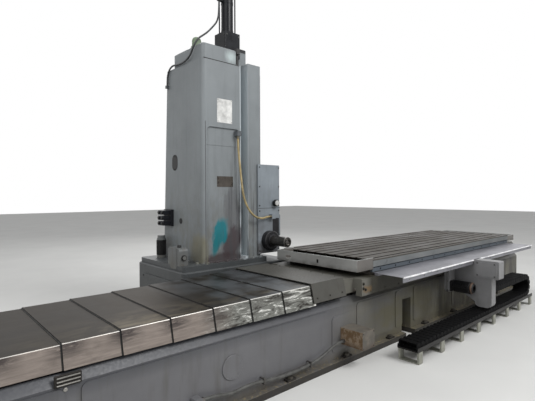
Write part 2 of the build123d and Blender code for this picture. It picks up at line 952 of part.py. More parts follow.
recess_right = post_left
recess_left = -866
recess_depth = 180
panel_left = -1365
panel_right = -877
panel_low = 860
panel_high = 2450
panel_line = 2240
panel_depth = 18
panel_step = 4
panel_rim = 5
panel_round = 60
recess_low = 880
slot_left = -900
slot_front = 1230
slot_back = 1385
slot_low = 900
column_corner = 55
with BuildPart() as column:
    with BuildSketch(Plane.YZ.offset(column_left)):
        with BuildLine():
            Polyline(
                (column_front, base_flange_top),
                (column_back, base_flange_top),
                (column_back_top, column_top),
                (column_front, column_top),
                close=True,
            )
        make_face()
    extrude(amount=column_right - column_left)
    with BuildSketch(Plane.XY.offset(column_top)):
        with Locations((post_left, column_front)):
            Rectangle(
                column_right - post_left,
                column_back_top - column_front,
                align=(Align.MIN, Align.MIN),
            )
    extrude(amount=post_top - column_top)
    fillet(column.edges().filter_by(Axis.Z).group_by(Axis.X)[0].group_by(Axis.Y)[0], column_corner)
    with BuildSketch(Plane.XZ.offset(-column_front)):
        with Locations((recess_left, recess_low)):
            Rectangle(recess_right - recess_left, column_top, align=(Align.MIN, Align.MIN))
    extrude(amount=-recess_depth, mode=Mode.SUBTRACT)
    with BuildSketch(Plane.XZ.offset(-column_front)):
        with BuildLine():
            FilletPolyline(
                (panel_left, panel_low),
                (panel_left, panel_high),
                (panel_right, panel_high),
                (panel_right, panel_low),
                radius=panel_round,
            )
            Line((panel_right, panel_low), (panel_left, panel_low))
        make_face()
    extrude(amount=-panel_depth, mode=Mode.SUBTRACT)
    with BuildSketch(Plane.XZ.offset(-column_front)):
        with BuildLine():
            FilletPolyline(
                (panel_left - panel_rim, panel_low),
                (panel_left - panel_rim, panel_high + panel_rim),
                (panel_right + panel_rim, panel_high + panel_rim),
                (panel_right + panel_rim, panel_low),
                radius=panel_round + panel_rim,
            )
            Line((panel_right + panel_rim, panel_low), (panel_left - panel_rim, panel_low))
        make_face()
    extrude(amount=-panel_rim, taper=45, mode=Mode.SUBTRACT)
    with BuildSketch(Plane.XZ.offset(-column_front)):
        with Locations((panel_left, panel_low)):
            Rectangle(
                panel_right - panel_left, panel_line - panel_low, align=(Align.MIN, Align.MIN)
            )
    extrude(amount=-panel_depth - panel_step, mode=Mode.SUBTRACT)
    with BuildSketch(Plane.XY.offset(slot_low)):
        with Locations((slot_left, slot_front)):
            Rectangle(
                column_right - slot_left, slot_back - slot_front, align=(Align.MIN, Align.MIN)
            )
    extrude(amount=column_top, mode=Mode.SUBTRACT)

cap_top = 3424
cap_back = 1650
cap_inset = 10
cap_right = -930
cap_chamfer = 14
with BuildPart() as column_cap:
    with BuildSketch(Plane.XY.offset(column_top)):
        with Locations((column_left + cap_inset, column_front + cap_inset)):
            Rectangle(
                cap_right - column_left - cap_inset,
                cap_back - column_front - cap_inset,
                align=(Align.MIN, Align.MIN),
            )
    extrude(amount=cap_top - column_top)
    fillet(column_cap.edges().filter_by(Axis.Z).group_by(Axis.X)[0], column_corner)
    chamfer(column_cap.faces().sort_by(Axis.Z)[-1].edges(), cap_chamfer)

guide_low = 900
guide_high = 3200
front_guide = (1000, 1120)
back_guide = (1560, 1680)
with BuildPart() as column_ways:
    with BuildSketch(Plane.YZ.offset(column_right)):
        for near, far in (front_guide, back_guide):
            with Locations((near, guide_low)):
                Rectangle(far - near, guide_high - guide_low, align=(Align.MIN, Align.MIN))
    extrude(amount=guide_face - column_right)

z_screw_radius = 31.5
with BuildPart() as z_screw:
    with BuildSketch(Plane.XY.offset(slot_low)):
        with Locations((vertical_screw_x, balance_y)):
            Circle(z_screw_radius)
    extrude(amount=post_top - slot_low)

motor_plate_top = post_top + 25
motor_plate_left = -735
motor_plate_width = 260
motor_plate_edge = 6
z_motor_x = vertical_screw_x - 5
z_motor_length = 130
z_motor_width = 140
z_motor_corner = 18
z_motor_top_corner = 12
z_motor_top = 3580
with BuildPart() as z_motor:
    with BuildSketch(Plane.XY.offset(post_top)):
        with Locations((motor_plate_left, balance_y)):
            Rectangle(
                column_right - motor_plate_left - motor_plate_edge,
                motor_plate_width,
                align=(Align.MIN, Align.CENTER),
            )
    extrude(amount=motor_plate_top - post_top)
    with BuildSketch(Plane.XY.offset(motor_plate_top)):
        with Locations((z_motor_x, balance_y)):
            RectangleRounded(z_motor_length, z_motor_width, z_motor_corner)
    extrude(amount=z_motor_top - motor_plate_top)
    fillet(z_motor.faces().sort_by(Axis.Z)[-1].edges(), z_motor_top_corner)

cylinder_block_low = cap_top
cylinder_block_high = 3740
cylinder_block = 240
cylinder_radius = 77.5
cylinder_bore = 62.5
cylinder_top = 5010
cylinder_head = 40
cylinder_cap = 190
cylinder_block_corner = 12
cylinder_cap_corner = 10
tie_rod_offset = 72
tie_rod_radius = 9
balance_rod_radius = 20
rod_passage = 32
port_x = -938
port_low = 4150
port_size = 40
with BuildPart() as balance_cylinder:
    with BuildSketch(Plane.XY.offset(column_top)):
        with Locations((cap_right, balance_y)):
            Rectangle(recess_right - cap_right, cylinder_block, align=(Align.MIN, Align.CENTER))
    extrude(amount=cylinder_block_low - column_top)
    with BuildSketch(Plane.XY.offset(cylinder_block_low)):
        with Locations((balance_x, balance_y)):
            RectangleRounded(cylinder_block, cylinder_block, cylinder_block_corner)
    extrude(amount=cylinder_block_high - cylinder_block_low)
    with BuildSketch(Plane.XY.offset(cylinder_block_high)):
        with Locations((balance_x, balance_y)):
            Circle(cylinder_radius)
    extrude(amount=cylinder_top - cylinder_block_high)
    with BuildSketch(Plane.XY.offset(cylinder_block_high)):
        with Locations((balance_x, balance_y)):
            with GridLocations(2 * tie_rod_offset, 2 * tie_rod_offset, 2, 2):
                Circle(tie_rod_radius)
    extrude(amount=cylinder_top - cylinder_block_high)
    with BuildSketch(Plane.XY.offset(cylinder_top)):
        with Locations((balance_x, balance_y)):
            RectangleRounded(cylinder_cap, cylinder_cap, cylinder_cap_corner)
    extrude(amount=cylinder_head)
    with BuildSketch(Plane.XY.offset(port_low)):
        with Locations((port_x - port_size / 2, balance_y)):
            Rectangle(
                balance_x - (cylinder_radius + cylinder_bore) / 2 - port_x + port_size / 2,
                port_size,
                align=(Align.MIN, Align.CENTER),
            )
    extrude(amount=port_size)
    with BuildSketch(Plane.XY.offset(column_top)):
        with Locations((balance_x, balance_y)):
            Circle(rod_passage)
    extrude(amount=cylinder_block_high - column_top, mode=Mode.SUBTRACT)
    with BuildSketch(Plane.XY.offset(cylinder_block_high)):
        with Locations((balance_x, balance_y)):
            Circle(cylinder_bore)
    extrude(amount=cylinder_top - cylinder_block_high, mode=Mode.SUBTRACT)

hose_block_x = -930
hose_block_low = 2370
hose_block_size = 60
hose_y = 930
clip_x = -1440
clip_y = 1755
clip_top = 3060
clip_size = 36
lube_left = base_flange_left
lube_front = 1000
lube_width = 112
lube_depth = 260
lube_height = 200
pump_x = -1516
pump_y = 1800
pump_radius = 56
pump_height = 250
pump_cap_radius = 48
pump_cap_height = 34
lube_corner = 40
with BuildPart() as lube_unit:
    with BuildSketch(Plane.YZ.offset(lube_left)):
        with Locations((lube_front, base_flange_top)):
            Rectangle(lube_depth, lube_height, align=(Align.MIN, Align.MIN))
    extrude(amount=lube_width)
    fillet(lube_unit.faces().sort_by(Axis.Z)[-1].edges().filter_by(Axis.X), lube_corner)
    with BuildSketch(Plane.XY.offset(base_flange_top)):
        with Locations((pump_x, pump_y)):
            Circle(pump_radius)
    extrude(amount=pump_height)
    with BuildSketch(Plane.XY.offset(base_flange_top + pump_height)):
        with Locations((pump_x, pump_y)):
            Circle(pump_cap_radius)
    extrude(amount=pump_cap_height)

valve_y = 1735
valve_z = 1358
valve_plate = 40
valve_plate_width = 190
valve_plate_height = 215
valve_pitch = 68
valve_width = 150
valve_height = 54
valve_length = 90
valve_count = 3
valve_plate_corner = 10
valve_corner = 8
with BuildPart() as valve_stack:
    with BuildSketch(Plane.YZ.offset(column_left)):
        with Locations((valve_y, valve_z)):
            RectangleRounded(valve_plate_width, valve_plate_height, valve_plate_corner)
    extrude(amount=-valve_plate)
    with BuildSketch(Plane.YZ.offset(column_left - valve_plate)):
        with Locations((valve_y, valve_z)):
            with GridLocations(1, valve_pitch, 1, valve_count):
                RectangleRounded(valve_width, valve_height, valve_corner)
    extrude(amount=-valve_length)
    with BuildSketch(Plane.XY.offset(hose_block_low)):
        with Locations((hose_block_x, column_front + panel_depth)):
            Rectangle(
                hose_block_size,
                column_front + panel_depth - hose_y + hose_block_size / 2,
                align=(Align.CENTER, Align.MAX),
            )
    extrude(amount=hose_block_size)
    with BuildSketch(Plane.XY.offset(clip_top)):
        with Locations((column_left, clip_y)):
            Rectangle(clip_size, clip_size, align=(Align.MAX, Align.CENTER))
    extrude(amount=-clip_size)

# Head with its quill and spindle
wrap_back = 950
head_back = 1750
lug_right = guide_face
lug_left = -850
lug_low = 1300
lug_high = 1420
lug_side_gap = 15
lug_front = slot_front + lug_side_gap
lug_back = slot_back - lug_side_gap
lug_split = vertical_screw_x - z_screw_radius - 18
lug_gap = z_screw_radius + 6
lug_socket = 60
nose_radius = 125
nose_front = 850
nose_chamfer = 10
head_corner = 24
with BuildPart() as head_casting:
    with BuildSketch(Plane.XZ.offset(-head_front)):
        with Locations((guide_face, head_bottom)):
            Rectangle(
                head_right - guide_face, head_split - head_bottom, align=(Align.MIN, Align.MIN)
            )
    extrude(amount=-head_back + head_front)
    with BuildSketch(Plane.XZ.offset(-head_front)):
        with Locations((head_left, head_bottom)):
            Rectangle(
                guide_face - head_left, head_split - head_bottom, align=(Align.MIN, Align.MIN)
            )
    extrude(amount=-wrap_back + head_front)
    fillet(
        head_casting.edges().filter_by(Axis.Z).group_by(Axis.X)[-1].group_by(Axis.Y)[0],
        head_corner,
    )
    with BuildSketch(Plane.XZ.offset(-head_front)):
        with Locations((spindle_x, spindle_z)):
            Circle(quill_radius + running_fit)
    extrude(amount=-head_back + head_front, mode=Mode.SUBTRACT)

with BuildPart() as head_cover:
    with BuildSketch(Plane.XZ.offset(-head_front)):
        with Locations((guide_face, head_split)):
            Rectangle(
                head_right - guide_face, head_top - head_split, align=(Align.MIN, Align.MIN)
            )
    extrude(amount=-head_back + head_front)
    with BuildSketch(Plane.XZ.offset(-head_front)):
        with Locations((head_left, head_split)):
            Rectangle(
                guide_face - head_left, head_top - head_split, align=(Align.MIN, Align.MIN)
            )
    extrude(amount=-wrap_back + head_front)
    fillet(
        head_cover.edges().filter_by(Axis.Z).group_by(Axis.X)[-1].group_by(Axis.Y)[0],
        head_corner,
    )

with BuildPart() as nose_plate:
    with BuildSketch(Plane.XZ.offset(-head_front)):
        with Locations((spindle_x, spindle_z)):
            Circle(nose_radius)
    extrude(amount=head_front - nose_front)
    chamfer(nose_plate.faces().sort_by(Axis.Y)[0].edges(), nose_chamfer)
    with BuildSketch(Plane.XZ.offset(-head_front)):
        with Locations((spindle_x, spindle_z)):
            Circle(quill_radius + running_fit)
    extrude(amount=head_front - nose_front, mode=Mode.SUBTRACT)

quill_chamfer = 3
with BuildPart() as quill:
    with BuildSketch(Plane.XZ.offset(-quill_tip)):
        with Locations((spindle_x, spindle_z)):
            Circle(quill_radius)
            Circle(spindle_radius + running_fit, mode=Mode.SUBTRACT)
    extrude(amount=-quill_length)
    chamfer(quill.edges().group_by(Axis.Y)[0].sort_by(SortBy.LENGTH)[-1], quill_chamfer)

spindle_nose = 12
key_slot_length = 24
key_slot_width = 16
with BuildPart() as spindle:
    with BuildSketch(Plane.YZ.offset(spindle_x)):
        with BuildLine():
            Polyline(
                (quill_tip - spindle_nose, spindle_z + taper_mouth_radius),
                (quill_tip - spindle_nose, spindle_z + spindle_radius),
                (quill_tip + quill_length, spindle_z + spindle_radius),
                (quill_tip + quill_length, spindle_z),
                (quill_tip - spindle_nose + taper_depth, spindle_z),
                (quill_tip - spindle_nose + taper_depth, spindle_z + taper_end_radius),
                close=True,
            )
        make_face()
    revolve(axis=Axis((spindle_x, 0, spindle_z), (0, 1, 0)))
    for side in (-1, 1):
        with Locations((spindle_x + side * spindle_radius, quill_tip - spindle_nose, spindle_z)):
            Box(key_slot_length, key_slot_width, key_slot_width, mode=Mode.SUBTRACT)

knob_x = -330
knob_z = 1540
knob_radius = 45
knob_length = 60
knob_neck_step = 12
knob_chamfer = 5
guard_low = 1094
guard_high = 1387
guard_y = 1070
guard_width = 180
guard_thickness = 50
guard_corner = 20
hose_end_x = -420
hose_end_z = 1366
with BuildPart() as feed_knob:
    with BuildSketch(Plane.XZ.offset(-head_front)):
        with Locations((knob_x, knob_z)):
            Circle(knob_radius - knob_neck_step)
    extrude(amount=knob_length)
    with BuildSketch(Plane.XZ.offset(-head_front + knob_length / 3)):
        with Locations((knob_x, knob_z)):
            Circle(knob_radius)
    extrude(amount=2 * knob_length / 3)
    chamfer(feed_knob.faces().sort_by(Axis.Y)[0].edges(), knob_chamfer)

with BuildPart() as head_boxes:
    with BuildSketch(Plane.YZ.offset(head_right)):
        with Locations((guard_y, (guard_low + guard_high) / 2)):
            RectangleRounded(guard_width, guard_high - guard_low, guard_corner)
    extrude(amount=guard_thickness)
    with BuildSketch(Plane.XZ.offset(-head_front)):
        with Locations((hose_end_x, hose_end_z)):
            Rectangle(hose_block_size, hose_block_size, align=(Align.MIN, Align.CENTER))
    extrude(amount=hose_block_size)

head_motor_x = -365
head_motor_z = 1790
head_motor_radius = 130
head_motor_length = 460
head_motor_flange = 30
head_motor_flange_rise = 10
head_motor_corner = 20
with BuildPart() as head_motor:
    with BuildSketch(Plane.XZ.offset(-head_back)):
        with Locations((head_motor_x, head_motor_z)):
            Circle(head_motor_radius + head_motor_flange_rise)
    extrude(amount=-head_motor_flange)
    with BuildSketch(Plane.XZ.offset(-head_back - head_motor_flange)):
        with Locations((head_motor_x, head_motor_z)):
            Circle(head_motor_radius)
    extrude(amount=-head_motor_length + head_motor_flange)
    fillet(head_motor.faces().sort_by(Axis.Y)[-1].edges(), head_motor_corner)

with BuildPart() as head_lug:
    with BuildSketch(Plane.XY.offset(lug_low)):
        with Locations((lug_left, (lug_front + lug_back) / 2)):
            Rectangle(
                lug_right - lug_left, lug_back - lug_front, align=(Align.MIN, Align.CENTER)
            )
        with Locations((lug_split, balance_y)):
            Rectangle(
                lug_right - lug_split, 2 * lug_gap, align=(Align.MIN, Align.CENTER),
                mode=Mode.SUBTRACT,
            )
    extrude(amount=lug_high - lug_low)

rod_top = 3800
rod_socket_radius = 32
with BuildPart() as balance_rod:
    with BuildSketch(Plane.XY.offset(lug_high)):
        with Locations((balance_x, balance_y)):
            Circle(balance_rod_radius)
    extrude(amount=rod_top - lug_high)
    with BuildSketch(Plane.XY.offset(lug_high)):
        with Locations((balance_x, balance_y)):
            Circle(rod_socket_radius)
    extrude(amount=lug_socket)

# Cords of the column and head
hose_radius = 13
hose_end_y = 886
hose_route = [
    (hose_block_x, hose_y, hose_block_low - soft_gap),
    (hose_block_x, hose_y, 2250),
    (-922, 912, 2060),
    (-912, 893, 1850),
    (-893, 880, 1650),
    (-850, 868, 1520),
    (-785, 864, 1425),
    (-690, 868, 1362),
    (-575, 878, 1345),
    (-500, hose_end_y, hose_end_z),
    (hose_end_x - soft_gap, hose_end_y, hose_end_z),
]
yellow_hose = round_cord(hose_route, hose_radius, bend_share)

top_cable_radius = 11
top_cable_route = [
    (port_x, balance_y, port_low - soft_gap),
    (port_x, balance_y, 4010),
    (-975, 1292, 3870),
    (-1107, 1220, 3735),
    (-1225, 1150, 3625),
    (-1330, 1095, 3545),
    (-1415, 1062, 3480),
    (-1460, 1085, 3385),
    (-1446, 1180, 3305),
    (clip_x, 1320, 3262),
    (clip_x, 1490, 3262),
    (clip_x, 1600, 3288),
    (clip_x, 1690, 3262),
    (clip_x, 1745, 3190),
    (clip_x, clip_y, 3110),
    (clip_x, clip_y, clip_top + soft_gap),
]
top_cable = round_cord(top_cable_route, top_cable_radius, bend_share)

cords = {
    "conduit": (conduit_cable, conduit_route, conduit_radius),
    "hose": (yellow_hose, hose_route, hose_radius),
    "top cable": (top_cable, top_cable_route, top_cable_radius),
}
for name, (cord, points, radius) in cords.items():
    spans = [(Vector(*b) - Vector(*a)).length for a, b in zip(points, points[1:])]
    print(name, "bend radii", [round(r) for r in bend_radii(points, bend_share)])
    print(name, "volume over section times run", round(cord.volume / (pi * radius**2 * sum(spans)), 3))

# Export
solids = {
    "bed_left": bed_left.part,
    "bed_right": bed_right.part,
    "bed_ways": bed_ways.part,
    "x_screw": x_screw.part,
    "screw_bearings": screw_bearings.part,
    "cover_end_brackets": cover_end_brackets.part,
    "levelling_pads": levelling_pads.part,
    "anchor_bolts": anchor_bolts.part,
    "round_cover_plate": round_cover_plate.part,
    "junction_box": junction_box.part,
    "conduit_cable": conduit_cable,
    "chain_tray": chain_tray.part,
    "chain_lower_run": chain_lower_run.part,
    "chain_loop": chain_loop.part,
    "chain_upper_run": chain_upper_run.part,
    "saddle": saddle.part,
    "left_cover_box": left_cover_box,
    "right_cover_box": right_cover_box,
    "cross_ways": cross_ways.part,
    "cross_screw": cross_screw.part,
    "gutter": gutter.part,
    "outrigger_arm": outrigger_arm.part,
    "outrigger_post": outrigger_post.part,
    "cross_motor": cross_motor.part,
    "belt_housing": belt_housing.part,
    "table": table.part,
    "end_troughs": end_troughs.part,
    "column_base": column_base.part,
    "column": column.part,
    "column_cap": column_cap.part,
    "column_ways": column_ways.part,
    "z_screw": z_screw.part,
    "z_motor": z_motor.part,
    "balance_cylinder": balance_cylinder.part,
    "valve_stack": valve_stack.part,
    "lube_unit": lube_unit.part,
    "top_cable": top_cable,
    "head_casting": head_casting.part,
    "head_cover": head_cover.part,
    "head_motor": head_motor.part,
    "head_boxes": head_boxes.part,
    "nose_plate": nose_plate.part,
    "feed_knob": feed_knob.part,
    "head_lug": head_lug.part,
    "balance_rod": balance_rod.part,
    "yellow_hose": yellow_hose,
    "quill": quill.part,
    "spindle": spindle.part,
}
for k in range(left_count - 1):
    solids[f"left_cover_{k + 1}"] = left_covers[k]
for k in range(right_count - 1):
    solids[f"right_cover_{k + 1}"] = right_covers[k]
solids["fixed_covers"] = Compound(children=[left_covers[-1], right_covers[-1]])

for name, shape in solids.items():
    shape.label = name
    export_step(shape, f"parts/{name}.step")
    box = shape.bounding_box()
    corners = [round(v, 1) for v in (*box.min, *box.max)]
    print(name, len(shape.solids()), corners)
print(len(solids), "files")
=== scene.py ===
"""Looks of a floor type jig boring and milling machine, laid out as an add-on."""

import math

import bpy
import numpy as np
from mathutils import Matrix, Vector


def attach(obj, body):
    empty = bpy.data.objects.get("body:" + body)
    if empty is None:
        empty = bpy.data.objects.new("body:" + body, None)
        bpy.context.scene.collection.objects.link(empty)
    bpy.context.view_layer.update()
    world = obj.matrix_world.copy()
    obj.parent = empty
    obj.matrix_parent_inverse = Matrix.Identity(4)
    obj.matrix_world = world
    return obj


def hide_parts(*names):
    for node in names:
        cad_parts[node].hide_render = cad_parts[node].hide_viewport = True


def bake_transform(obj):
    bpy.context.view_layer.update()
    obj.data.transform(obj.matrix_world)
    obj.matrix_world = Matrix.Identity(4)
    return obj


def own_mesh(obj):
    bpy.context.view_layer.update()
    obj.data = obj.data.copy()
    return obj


bl_info = {
    "name": "Boring mill looks",
    "version": (1, 0, 0),
    "blender": (4, 5, 0),
    "location": "View3D > Sidebar > Boring mill",
    "description": "Finishes, small fittings, cords and stage of a floor type boring mill",
    "category": "Object",
}

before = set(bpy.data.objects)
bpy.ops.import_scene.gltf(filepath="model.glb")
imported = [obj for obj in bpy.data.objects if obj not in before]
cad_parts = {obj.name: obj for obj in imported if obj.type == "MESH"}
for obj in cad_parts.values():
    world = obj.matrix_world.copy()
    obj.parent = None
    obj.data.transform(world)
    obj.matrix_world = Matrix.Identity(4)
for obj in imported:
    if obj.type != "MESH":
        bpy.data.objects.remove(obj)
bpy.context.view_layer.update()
LEFT_COVERS = [f"left_cover_{i}" for i in range(1, 8)]
RIGHT_COVERS = [f"right_cover_{i}" for i in range(1, 5)]
X_AXIS = (1.0, 0.0, 0.0)
Z_AXIS = (0.0, 0.0, 1.0)
LEFT = (-1.0, 0.0, 0.0)
FRONT = (0.0, -1.0, 0.0)
BACK = (0.0, 1.0, 0.0)
ORIGIN = (0.0, 0.0, 0.0)
EVEN = (1.0, 1.0, 1.0)
COVER_PITCH = 0.35
COVER_SLOPE = 0.25
SENSOR_WIDTH = 36.0
PHOTO_WIDTH = 535.0
FOCAL_IN_PIXELS = 415.0
SPINDLE_X, SPINDLE_Z = -0.43, 1.055
CYLINDER_X, CYLINDER_Y, TIE_ROD = -0.81, 1.307, 0.072
SHARP_ANGLE = math.radians(40)
PATTERN_SHIFT = 7.3
FLOOR = -0.001


# Surfaces worked out as whole arrays: points, faces of four corners and faces of three

def evenly_round(count):
    """The angles of count points evenly round a turn."""
    return np.linspace(0.0, 2.0 * math.pi, count, endpoint=False)


def circle(radius, count=24, step=0.0):
    """Outline (r cos t, r sin t) for t evenly round a turn, r growing by step where one is
    given for each point; returns a function of how far the outline grows, so that a
    profile can be carried along it."""
    turn = evenly_round(count)
    across = np.stack([np.cos(turn), np.sin(turn)], 1)
    return lambda grow: across * np.reshape(radius + grow + step, (-1, 1))


def finned(radius, height, count):
    """Circle whose radius steps out by height count times round the turn, so that it gives
    a finned motor shell when it is carried along the axis."""
    return circle(radius, count * 6, np.tile([0.0, 0.0, 0.0, 1.0, 1.0, 1.0], count) * height)


def rectangle(width, height, corner, arc=4):
    """Outline of a rectangle with round corners: each corner's centre plus its radius
    times (cos t, sin t) over that corner's quarter turn."""
    def outline(grow):
        bend = max(corner + grow, 0.0004)
        half = np.array([width / 2 + grow - bend, height / 2 + grow - bend])
        quarter = np.linspace(0.0, math.pi / 2, arc + 1)
        starts = np.arange(4)[:, None] * math.pi / 2
        turn = (starts + quarter[None, :]).reshape(-1)
        side = np.repeat(np.array([[1, 1], [-1, 1], [-1, -1], [1, -1]]), arc + 1, axis=0)
        return side * half + bend * np.stack([np.cos(turn), np.sin(turn)], 1)
    return outline


def walls(steps, count):
    """Faces from each of the rings of count points to the next, and from the last to the
    first."""
    row = np.arange(steps)[:, None] * count
    above = (row + count) % (steps * count)
    here = np.arange(count)
    after = (here + 1) % count
    return np.stack([row + here, row + after, above + after, above + here], -1)


def capped(rings, ends):
    """Closed form from rings of points: walls between them, and a fan from the first and
    the last ring to its own end point."""
    steps, count = rings.shape[:2]
    here = np.arange(count)
    after = (here + 1) % count
    last = (steps - 1) * count
    low = np.stack([after, here, np.full(count, steps * count)], -1)
    high = np.stack([last + here, last + after, np.full(count, steps * count + 1)], -1)
    points = np.concatenate([rings.reshape(-1, 3), ends])
    return points, walls(steps, count)[:-1].reshape(-1, 4), np.concatenate([low, high])


def basis(out):
    """Two directions across the unit vector out, so that across x up = out."""
    out = np.array(out, float)
    across = np.array(X_AXIS) if abs(out[2]) > 0.9 else np.cross(Z_AXIS, out)
    across = across / np.linalg.norm(across)
    return across, np.cross(out, across), out


def carried(outline, profile, place, out):
    """Closed form: at each step (grow, height) of the profile stands the outline grown by
    grow, moved height along out from place; the ends are closed by fans to a middle point."""
    across, up, normal = basis(out)
    flat = np.stack([outline(grow) for grow, _ in profile])
    height = np.array([h for _, h in profile])
    rings = (
        flat[:, :, :1] * across
        + flat[:, :, 1:] * up
        + height[:, None, None] * normal
        + np.array(place, float)
    )
    return capped(rings, np.stack([rings[0].mean(0), rings[-1].mean(0)]))


def rimmed(side, inset, top):
    """Profile that goes straight out as far as side, then inwards by inset to top."""
    return [(0.0, 0.0), (0.0, side), (-inset, top)]


def hoop(radius, band, place, count=40):
    """Closed hoop round Z: the point (r cos t, r sin t) with r the radius grown by each
    step of the band's closed outline, at that step's height above place."""
    turn = evenly_round(count)
    grow, height = np.array(band, float).T
    across = (radius + grow)[:, None] * np.cos(turn)
    up = (radius + grow)[:, None] * np.sin(turn)
    rings = np.stack([across, up, np.broadcast_to(height[:, None], across.shape)], -1)
    quads = walls(len(band), count).reshape(-1, 4)
    return rings.reshape(-1, 3) + np.array(place), quads, np.zeros((0, 3), int)


def together(*forms):
    """Several forms as one, the faces of each renumbered past the points before it."""
    starts = np.cumsum([0] + [len(points) for points, _, _ in forms])
    return (
        np.concatenate([points for points, _, _ in forms]),
        np.concatenate([quads + start for (_, quads, _), start in zip(forms, starts)]),
        np.concatenate([threes + start for (_, _, threes), start in zip(forms, starts)]),
    )


def repeated(form, moves):
    """The same form once for each move, its points plus the move."""
    points, quads, threes = form
    return together(*((points + np.array(move, float), quads, threes) for move in moves))


def slab(low, high, edge=0.002):
    """Box between two corners with a small bevel: a rectangle carried upwards, inset by
    edge at its foot and at its top."""
    low, high = np.array(low, float), np.array(high, float)
    size = high - low
    edge = min(edge, size.min() * 0.3)
    middle = (low + high) / 2
    profile = [(-edge, 0.0), (0.0, edge), (0.0, size[2] - edge), (-edge, size[2])]
    place = (middle[0], middle[1], low[2])
    return carried(rectangle(size[0], size[1], edge, 1), profile, place, Z_AXIS)


def bolt(radius, height, out, places):
    """Cap screws: a circle carried out, over a rounded rim and down into its socket."""
    profile = [
        (0.0, 0.0),
        (0.0, height * 0.85),
        (-radius * 0.12, height),
        (-radius * 0.42, height),
        (-radius * 0.46, height * 0.45),
    ]
    return repeated(carried(circle(radius, 16), profile, ORIGIN, out), places)


def hex_bolt(radius, height, out, places):
    """Hexagon heads on a washer: a circle for the washer, then six corners chamfered."""
    rim = rimmed(height * 0.2, radius * 0.05, height * 0.24)
    washer = carried(circle(radius * 1.35, 18), rim, ORIGIN, out)
    sides = [(0.0, height * 0.2), (0.0, height * 0.88), (-radius * 0.12, height)]
    return repeated(together(washer, carried(circle(radius, 6), sides, ORIGIN, out)), places)


def directions(path):
    """The unit direction of a path at each of its points."""
    along = np.gradient(path, axis=0)
    return along / np.linalg.norm(along, axis=1, keepdims=True)


def tube_along(path, radius, sides=14):
    """Tube round a path: at each point stands a circle in the plane across the path's
    direction, with its start turned as little as possible from the one before."""
    path = np.array(path, float)
    along = directions(path)
    first = np.cross(along[0], Z_AXIS if abs(along[0][2]) < 0.9 else X_AXIS)
    side = [first / np.linalg.norm(first)]
    for direction in along[1:]:
        turned = side[-1] - direction * np.dot(side[-1], direction)
        side.append(turned / np.linalg.norm(turned))
    side = np.array(side)
    up = np.cross(along, side)
    turn = evenly_round(sides)
    rings = (
        path[:, None]
        + radius * np.cos(turn)[None, :, None] * side[:, None]
        + radius * np.sin(turn)[None, :, None] * up[:, None]
    )
    return capped(rings, path[[0, -1]])


def bent_strip(section, thickness, x_start, x_end):
    """Sheet folded along a section in the YZ plane: the section and the same section moved
    along its own outward normals by thickness, carried from x_start to x_end."""
    along = directions(section)
    outward = np.stack([-along[:, 1], along[:, 0]], 1)
    loop = np.concatenate([section, (section + outward * thickness)[::-1]])
    count = len(loop)
    points = np.concatenate([np.column_stack([np.full(count, x), loop]) for x in (x_start, x_end)])
    i = np.arange(count // 2 - 1)
    near = np.stack([i + 1, i, count - 1 - i, count - 2 - i], -1)
    far = np.stack([count + i, count + i + 1, 2 * count - 2 - i, 2 * count - 1 - i], -1)
    return points, np.concatenate([walls(2, count)[0], near, far]), np.zeros((0, 3), int)


def show(name, form, body, material, smooth=False):
    """Puts a form into a mesh object that rides on a body, or on none yet."""
    points, quads, threes = form
    mesh = bpy.data.meshes.new(name)
    mesh.from_pydata(points.tolist(), [], quads.tolist() + threes.tolist())
    mesh.update()
    mesh.materials.append(material)
    if smooth:
        mesh.shade_smooth()
        mesh.set_sharp_from_angle(angle=SHARP_ANGLE)
    piece = bpy.data.objects.new(name, mesh)
    bpy.context.scene.collection.objects.link(piece)
    if body:
        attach(piece, body)
    return piece


# Finishes

def srgb(colour):
    """The linear value of a colour as it is seen, channel by channel."""
    return tuple(c / 12.92 if c <= 0.04045 else ((c + 0.055) / 1.055) ** 2.4 for c in colour)


def shade(colour, by):
    """The colour made lighter or darker by a factor."""
    return tuple(min(1.0, max(0.0, c * by)) for c in colour)


